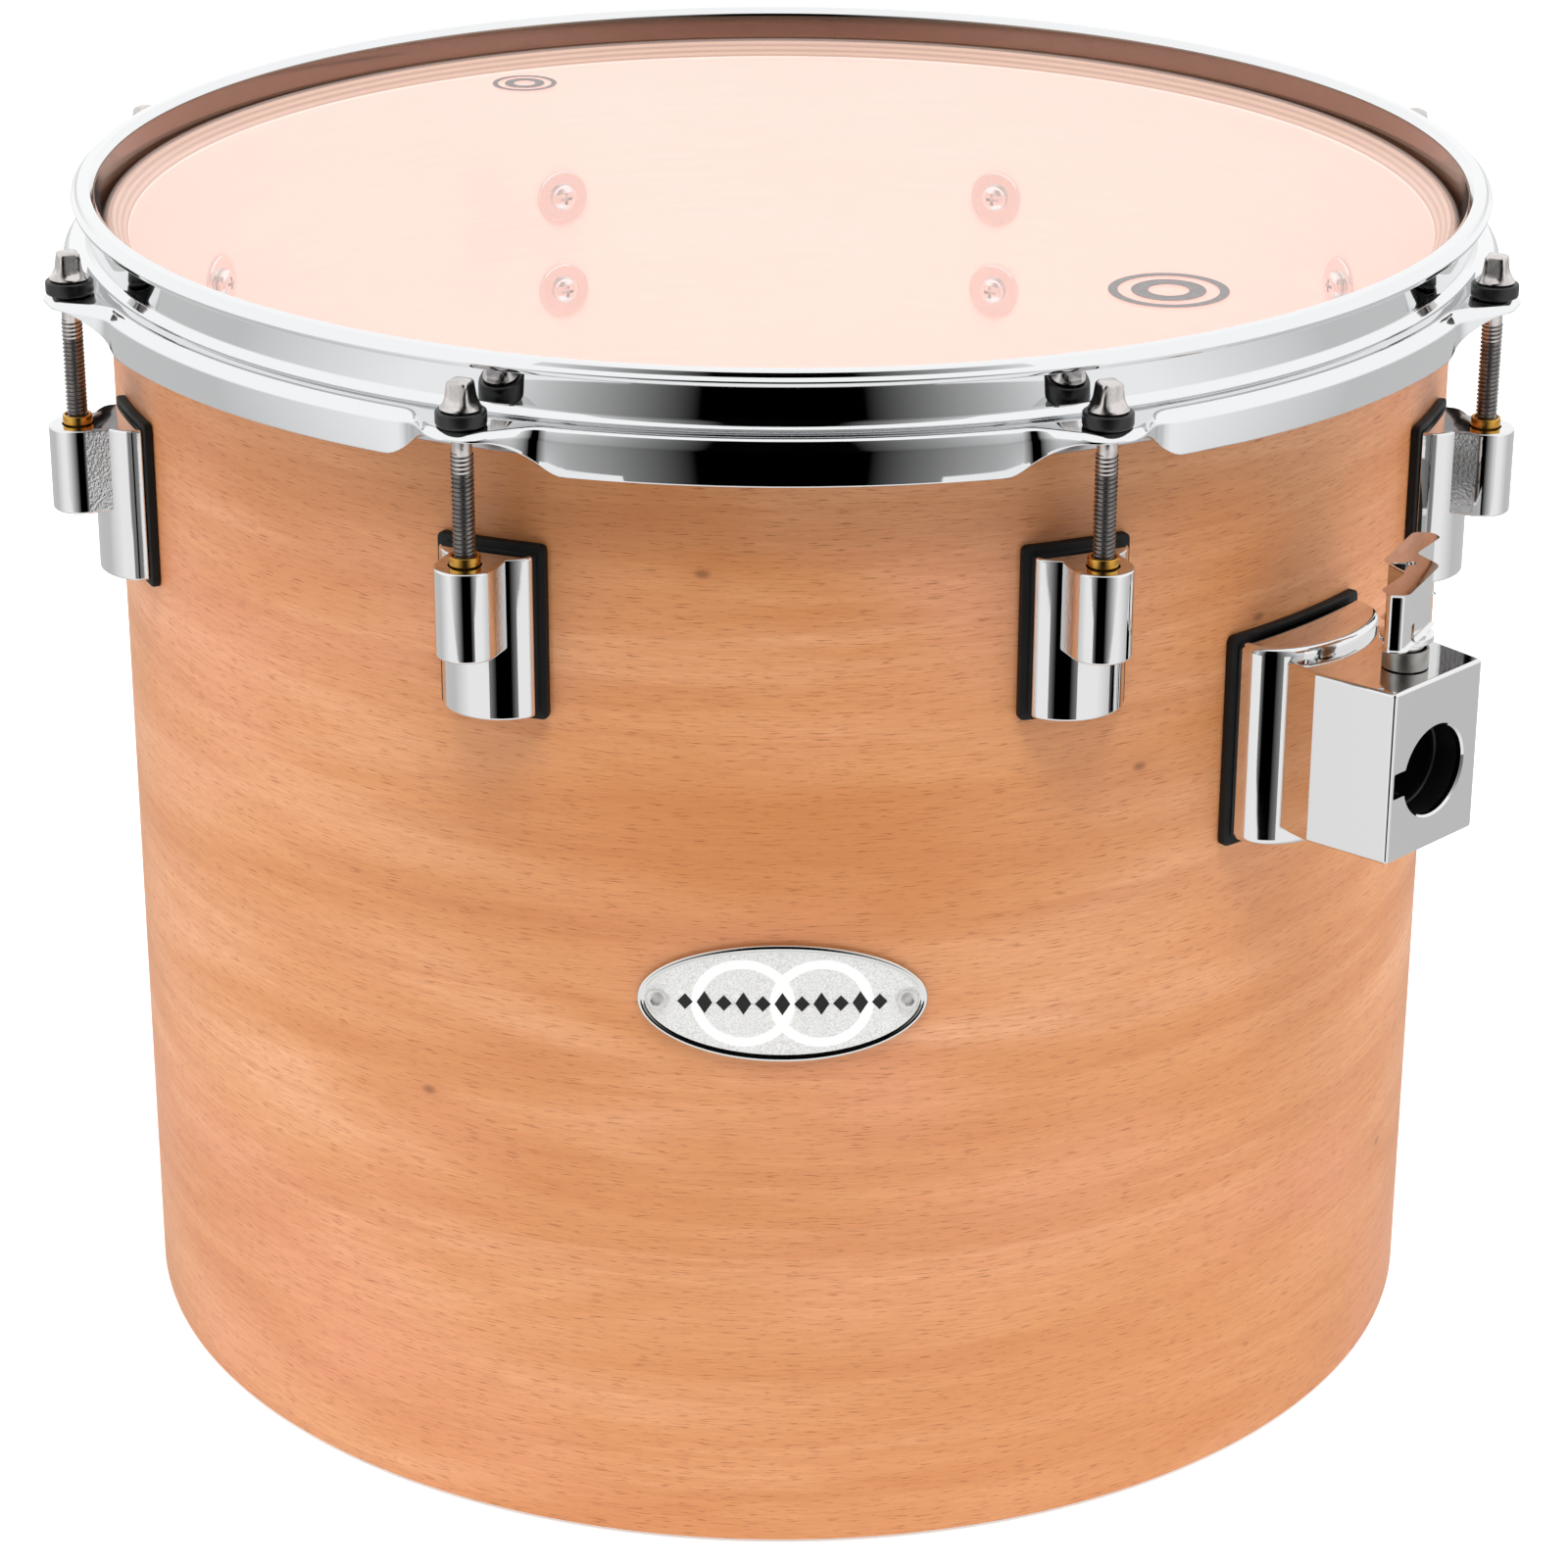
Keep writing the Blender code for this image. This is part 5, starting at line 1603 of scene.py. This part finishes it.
    def build_rod(self, key: Mesh, turn: Matrix) -> None:
        """Grows this rod's thread and joins it with its head."""
        low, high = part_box(f"tension_rod_{self.number}")
        top = high.z - 17.5 * MM
        rows = 4 * (ceil((top - low.z) / self.pitch) + 2) + 1
        axis = turned((0.0, -self.axis_reach, 0.0), self.azimuth)
        thread = grown(self.thread, f"rod_thread_{self.number}",
                {"Crest Radius": 2.7 * MM, "Root Radius": 2.25 * MM, "Pitch": self.pitch, "Low": low.z,
                 "High": top, "Columns": 25, "Rows": rows, "Axis": axis,
                 "Material": THREAD_STEEL.material()})
        bm = bmesh.new()
        bm.from_mesh(thread)
        bmesh.ops.recalc_face_normals(bm, faces=bm.faces)
        bm.to_mesh(thread)
        bm.free()
        head = moved(key, f"key_head_{self.number}", turn)
        mesh = joined(f"key_rod_{self.number}", [thread, head])
        settle(f"key_rod_{self.number}", mesh, f"rod_{self.number}", Slot.ROD, None,
               f"tension_rod_{self.number}")


@dataclass
class TubeBracket:
    """The tube receiver: rubber pad, chromed casting, bore liner, clamp collar and its screws."""

    azimuth: float = radians(45.0)
    shell_radius: float = 177.8 * MM
    gap: float = 0.3 * MM
    pad_thickness: float = 2.0 * MM
    bore_height: float = 204.8 * MM
    bore_radius: float = 11.4 * MM
    box_front: float = 44.5 * MM
    box_half_front: float = 17.1 * MM
    box_half_back: float = 19.4 * MM
    box_low: float = 184.8 * MM
    box_high: float = 229.0 * MM
    base_half: float = 22.6 * MM
    base_bulge: float = 17.4 * MM
    base_side: float = 4.2 * MM
    slot_reach: float = 15.8 * MM
    slot_half: float = 3.3 * MM
    clamp_reach: float = 34.0 * MM

    def build(self, frame: dict) -> None:
        """Builds the bracket, and dresses the nodes of it that stay.

        Args:
            frame: What the frame's loading returned.
        """
        turn = about_z(self.azimuth)
        low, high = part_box("bracket_pad")
        pad = pad_mesh("bracket_gasket", self.shell_radius + self.gap, 24.4 * MM / self.shell_radius, low.z,
                high.z, 2.0 * MM, self.pad_thickness)
        pad.transform(turn)
        settle("bracket_gasket", pad, Body.DRUM, Slot.RUBBER, RUBBER, "bracket_pad")
        casting = self.casting_mesh()
        casting.transform(turn)
        settle("bracket_casting", casting, Body.DRUM, Slot.CAST, CAST_CHROME, "bracket_body")
        collar = self.collar_mesh()
        collar.transform(turn)
        settle("clamp_bush", collar, Body.DRUM, Slot.COLLAR, COLLAR_STEEL, "clamp_collar")
        liner = self.liner_mesh()
        liner.transform(turn)
        settle("bore_liner", liner, Body.DRUM, Slot.NYLON, LINER, "receiver_liner")
        dress_node(frame["nodes"]["clamp_shoe"], SHOE_ALLOY)
        self.build_mount_screws()

    def casting_mesh(self) -> Mesh:
        """Casts the foot and the square nose in one, bored and slotted from the front."""
        low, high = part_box("bracket_body")
        back = self.shell_radius + self.pad_thickness + 2 * self.gap
        size = (self.base_half, self.base_side, self.base_bulge)
        foot = foot_block("bracket_foot", Front.OVAL, self.shell_radius, back, size, (low.z, high.z),
                1.9 * MM, 36, 5)
        front, root = -(self.shell_radius + self.box_front), -(self.shell_radius + 8.0 * MM)
        waist = -(self.shell_radius + 22.0 * MM)
        nose = rounded([
            (-self.box_half_front, front), (self.box_half_front, front), (self.box_half_back, waist),
            (self.box_half_back - 2.2 * MM, root), (-self.box_half_back + 2.2 * MM, root),
            (-self.box_half_back, waist)], [1.1 * MM, 1.1 * MM, 1.6 * MM, 1.3 * MM, 1.3 * MM, 1.6 * MM], 4)
        box = soft_block("bracket_nose", partial(inset, nose), (self.box_low, self.box_high), 0.9 * MM)
        return weighted(combined("bracket_casting", foot, [("UNION", box), *self.cutters()]))

    def cutters(self) -> list[tuple[str, Mesh]]:
        """Returns the Boolean steps that bore and slot the casting."""
        front = self.shell_radius + self.box_front
        length = self.box_front + 10 * MM
        bore = revolved("bore", [(0.0, -length), (12.9 * MM, -length), (12.9 * MM, -1.7 * MM),
                    (self.bore_radius, -1.7 * MM), (self.bore_radius, -0.5 * MM),
                    (self.bore_radius + 0.5 * MM, 0.0), (self.bore_radius + 0.5 * MM, 4 * MM),
                    (0.0, 4 * MM)], 72)
        bore.transform(outward(0.0, front, self.bore_height))
        slot = rounded([(-self.slot_reach, self.bore_height - self.slot_half),
                    (0.0, self.bore_height - self.slot_half), (0.0, self.bore_height + self.slot_half),
                    (-self.slot_reach, self.bore_height + self.slot_half)], 0.5 * MM, 3)
        key = lofted("key_slot", [[(x, -(front + reach), z) for x, z in slot]
                    for reach in (4 * MM, -24 * MM)], closed=False)
        centre = (0.0, -(self.shell_radius + self.clamp_reach))
        hole = revolved("clamp_hole", [(0.0, self.bore_height), (5.0 * MM, self.bore_height),
                    (5.0 * MM, self.box_high + 4 * MM), (0.0, self.box_high + 4 * MM)], 36, centre)
        return [("DIFFERENCE", bore), ("DIFFERENCE", key), ("DIFFERENCE", hole)]

    def collar_mesh(self) -> Mesh:
        """Turns the plain steel collar that guides the clamp screw."""
        low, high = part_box("clamp_collar")
        section = rounded([(5.0 * MM, low.z), (5.7 * MM, low.z), (5.7 * MM, high.z), (5.0 * MM, high.z)],
                          [0.05 * MM, 0.05 * MM, 0.25 * MM, 0.15 * MM], 3)
        return revolved("clamp_bush", section, 48, (0.0, -(self.shell_radius + self.clamp_reach)))

    def liner_mesh(self) -> Mesh:
        """Moulds the black liner, stepped to a smaller bore deeper in and slotted for a key."""
        start, end = self.shell_radius - 6.0 * MM, self.shell_radius + self.box_front - 2.0 * MM
        length = end - start
        section = [(12.6 * MM, -length), (12.6 * MM, 0.0), (11.5 * MM, 0.0), (11.4 * MM, -6 * MM),
                (11.0 * MM, -6.4 * MM), (11.0 * MM, -8.0 * MM), (11.4 * MM, -8.4 * MM),
                (11.4 * MM, -length)]
        tube = revolved("bore_liner", section, 64)
        tube.transform(outward(0.0, end, self.bore_height))
        slot = [(-16 * MM, self.bore_height - self.slot_half), (-4 * MM, self.bore_height - self.slot_half),
                (-4 * MM, self.bore_height + self.slot_half), (-16 * MM, self.bore_height + self.slot_half)]
        key = lofted("liner_key", [[(x, -(end + reach), z) for x, z in slot]
                    for reach in (3 * MM, -22 * MM)], closed=False)
        hole = revolved("liner_window", [(0.0, 0.0), (5.2 * MM, 0.0), (5.2 * MM, 20 * MM), (0.0, 20 * MM)],
                36)
        hole.transform(Matrix.Translation((0.0, -(self.shell_radius + self.clamp_reach),
                        self.bore_height + 3 * MM)))
        mesh = combined("bore_liner", tube, [("DIFFERENCE", key), ("DIFFERENCE", hole)])
        shade(mesh)
        return mesh

    def build_mount_screws(self) -> None:
        """Sets the four screws that hold the bracket from inside the shell."""
        for number in range(1, 5):
            name = f"bracket_screw_{number}"
            low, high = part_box(name)
            middle = (low + high) / 2
            azimuth = atan2(middle.x, -middle.y)
            inner = self.shell_radius - 6.0 * MM
            across = hypot(middle.x, middle.y) * sin(azimuth - self.azimuth)
            seat = sqrt(inner * inner - across * across)
            screw = PanScrew(4.5 * MM, 2.8 * MM, Recess.CROSS, 7.2 * MM, 1.0 * MM, 2.2 * MM,
                    12.0 * MM).build("mount_screw")
            screw.transform(Matrix.Rotation(-pi / 2, 4, "X"))
            screw.transform(about_z(self.azimuth) @ Matrix.Translation((across, -seat + 0.3 * MM,
                            middle.z)))
            settle(f"mount_screw_{number}", screw, Body.DRUM, Slot.SCREW, SCREW_CHROME, name)


@dataclass
class WingBolt:
    """The clamp screw: a cast head with two offset wings over a flange, spring ring and shank."""

    azimuth: float = radians(45.0)
    reach: float = 211.8 * MM
    wing_low: float = 240.6 * MM
    wing_high: float = 255.2 * MM

    def build(self) -> None:
        """Casts the wings, turns the flange and shank, and joins them."""
        low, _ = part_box("wing_bolt")
        plan = rounded([(v[0] * MM, -v[1] * MM) for v in (
            (-20.0, 9.4), (-18.0, 12.0), (2.8, 5.0), (5.8, -4.3), (19.3, -7.2), (20.0, -9.4), (18.0, -12.0),
            (-2.8, -5.0), (-5.8, 4.3), (-19.3, 7.2))],
            [v * MM for v in (1.2, 1.6, 3.0, 3.6, 1.6, 1.2, 1.6, 3.0, 3.6, 1.6)], 6)
        wings = soft_block("wings", partial(inset, plan[::-1]), (self.wing_low, self.wing_high), 1.1 * MM,
                4)
        hub = revolved("hub", [(0.0, 239.0 * MM), (4.9 * MM, 238.2 * MM), (4.3 * MM, 243.5 * MM),
                    (3.4 * MM, 247.0 * MM), (0.0, 247.0 * MM)], 40)
        well = revolved("well", [(0.0, 254.0 * MM), (1.1 * MM, 254.0 * MM), (1.3 * MM, 257.0 * MM),
                    (0.0, 257.0 * MM)], 24)
        cast = weighted(combined("wing_cast", wings,
                    [("UNION", hub), *self.arches(), ("DIFFERENCE", well)]))
        shaft = revolved("shaft", rounded([
            (0.0, 239.5 * MM), (4.9 * MM, 239.5 * MM), (5.4 * MM, 238.2 * MM), (6.6 * MM, 237.6 * MM),
            (6.6 * MM, 236.1 * MM), (4.5 * MM, 235.9 * MM), (4.5 * MM, 231.4 * MM), (3.9 * MM, 231.4 * MM),
            (3.9 * MM, low.z), (0.0, low.z)], 0.25 * MM, 3), 48)
        mesh = joined("wing_screw", [cast, shaft])
        mesh.transform(about_z(self.azimuth) @ Matrix.Translation((0.0, -self.reach, 0.0)))
        settle("wing_screw", mesh, Body.WING, Slot.CAST, CAST_CHROME, "wing_bolt")

    def arches(self) -> list[tuple[str, Mesh]]:
        """Returns the cuts that lift each wing's lower edge in a curve towards the hub."""
        cuts = []
        for side in (-1, 1):
            curve = [(5.2, 233.0), (15.0, 233.0), (14.6, 240.8), (13.4, 242.2), (11.4, 243.6), (8.8, 244.6),
                    (6.6, 245.1), (5.2, 245.2)]
            plane = [(side * x * MM, z * MM) for x, z in curve]
            mesh = lofted("arch", [[(x, y, z) for x, z in plane] for y in (-14 * MM, 14 * MM)],
                    closed=False)
            mesh.transform(about_z(radians(-25.0)))
            cuts.append(("DIFFERENCE", mesh))
        return cuts


@dataclass
class OvalBadge:
    """The oval badge: a blasted plate in a polished rim, with plain ornament and two screws."""

    radius: float = 178.1 * MM
    half_azimuth: float = radians(11.37)
    half_height: float = 15.6 * MM
    height: float = 152.4 * MM
    screw_azimuth: float = radians(9.8)
    plate_rise: float = 0.75 * MM
    steps: int = 120

    def on_shell(self, arc: float, rise_z: float, out: float) -> Point:
        """Returns the place of a point of the flat badge on the shell."""
        angle, reach = arc / self.radius, self.radius + out
        return (reach * sin(angle), -reach * cos(angle), self.height + rise_z)

    def build(self) -> None:
        """Builds the plate, its ornament and its screws."""
        half = self.half_azimuth * self.radius
        top = [(0.0, 0.0), (0.0, 0.7), (0.15, 1.0), (0.5, 1.2), (1.0, 1.2), (1.35, 1.05), (1.6, 0.8),
               (1.9, 0.75)]
        top += [(v, 0.75) for v in (3.0, 5.0, 7.0, 9.0, 11.0, 13.0, 14.6, 15.58)]
        back = [(v, 0.0) for v in (15.58, 14.6, 13.0, 11.0, 9.0, 7.0, 5.0, 3.0)]
        rings = []
        for shrink, rise in top + back:
            ring = []
            for k in range(self.steps):
                angle = 2 * pi * k / self.steps
                ring.append(self.on_shell((half - shrink * MM) * cos(angle),
                                          (self.half_height - shrink * MM) * sin(angle), rise * MM))
            rings.append(ring)
        mesh = lofted("badge_plate", rings, closed=True, merge=5e-5)
        mesh.materials.append(PLATE_ALLOY.material())
        mesh.materials.append(RIM_ALLOY.material())
        self.paint_rim(mesh, half)
        settle("badge_plate", mesh, Body.DRUM, Slot.PLATE, None, "badge")
        self.build_ornament()
        self.build_screws()

    def paint_rim(self, mesh: Mesh, half: float) -> None:
        """Gives the faces of the rim the polished finish."""
        for face in mesh.polygons:
            arc = atan2(face.center.x, -face.center.y) * self.radius
            rise = face.center.z - self.height
            share = hypot(arc / (half - 1.9 * MM), rise / (self.half_height - 1.9 * MM))
            face.material_index = 1 if share > 1.0 else 0

    def tile(self, bm: BMesh, outline: Section, out: float) -> None:
        """Adds one flat inlay of an outline, standing a hair above the plate."""
        rings = [[self.on_shell(x, z, self.plate_rise - 0.05 * MM) for x, z in outline],
                 [self.on_shell(x, z, self.plate_rise + out) for x, z in outline]]
        loft(bm, rings, closed=False)

    def ring_tile(self, bm: BMesh, centre: Pair, outer: float, inner: float, squash: float,
                  out: float) -> None:
        """Adds one inlaid ring."""
        count = 64
        rings = []
        for k in range(count):
            angle = 2 * pi * k / count
            rings.append([self.on_shell(centre[0] + r * cos(angle), centre[1] + r * squash * sin(angle),
                            self.plate_rise + rise) for r,
                        rise in ((inner, -0.05 * MM), (outer, -0.05 * MM), (outer, out), (inner, out))])
        loft(bm, rings, closed=True)

    def build_ornament(self) -> None:
        """Inlays two pale linked rings, and a dark row of lozenges, tall and short by turns, over them."""
        bm = bmesh.new()
        for x in (-9.5, 9.5):
            self.ring_tile(bm, (x * MM, 0.0), 12.6 * MM, 10.0 * MM, 0.92, 0.03 * MM)
        settle("badge_rings", mesh_of("badge_rings", bm), Body.DRUM, Slot.PLATE, PALE_ENAMEL)
        bm = bmesh.new()
        for k in range(-5, 6):
            x = k * 4.7 * MM
            tall, wide = (3.0 if k % 2 == 0 else 2.1) * MM, 1.9 * MM
            self.tile(bm, [(x - wide, 0.0), (x, -tall), (x + wide, 0.0), (x, tall)], 0.07 * MM)
        settle("badge_lozenges", mesh_of("badge_lozenges", bm), Body.DRUM, Slot.PLATE, BLACK_ENAMEL)

    def build_screws(self) -> None:
        """Sets the two hexagon-socket screws of the badge."""
        for number, side in ((1, -1), (2, 1)):
            screw = PanScrew(2.65 * MM, 1.3 * MM, Recess.HEX, 0.0, 0.0, 1.2 * MM,
                    1.5 * MM).build("badge_pin")
            seat = self.radius + self.plate_rise
            screw.transform(about_z(side * self.screw_azimuth) @ outward(0.0, seat, self.height))
            settle(f"badge_pin_{number}", screw, Body.DRUM, Slot.SCREW, PIN_STEEL, f"badge_screw_{number}")


def main() -> None:
    """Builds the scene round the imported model."""
    logging.basicConfig(level=logging.INFO, format="%(message)s")
    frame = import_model()
    Studio().build()
    TomShell().build()
    Drumhead().build()
    PressedHoop().build()
    thread, masters = thread_tree(), {}
    for number in range(1, 9):
        TensionStation(number, thread).build(masters)
    TubeBracket().build(frame)
    WingBolt().build()
    OvalBadge().build()


if __name__ == "__main__":
    main()
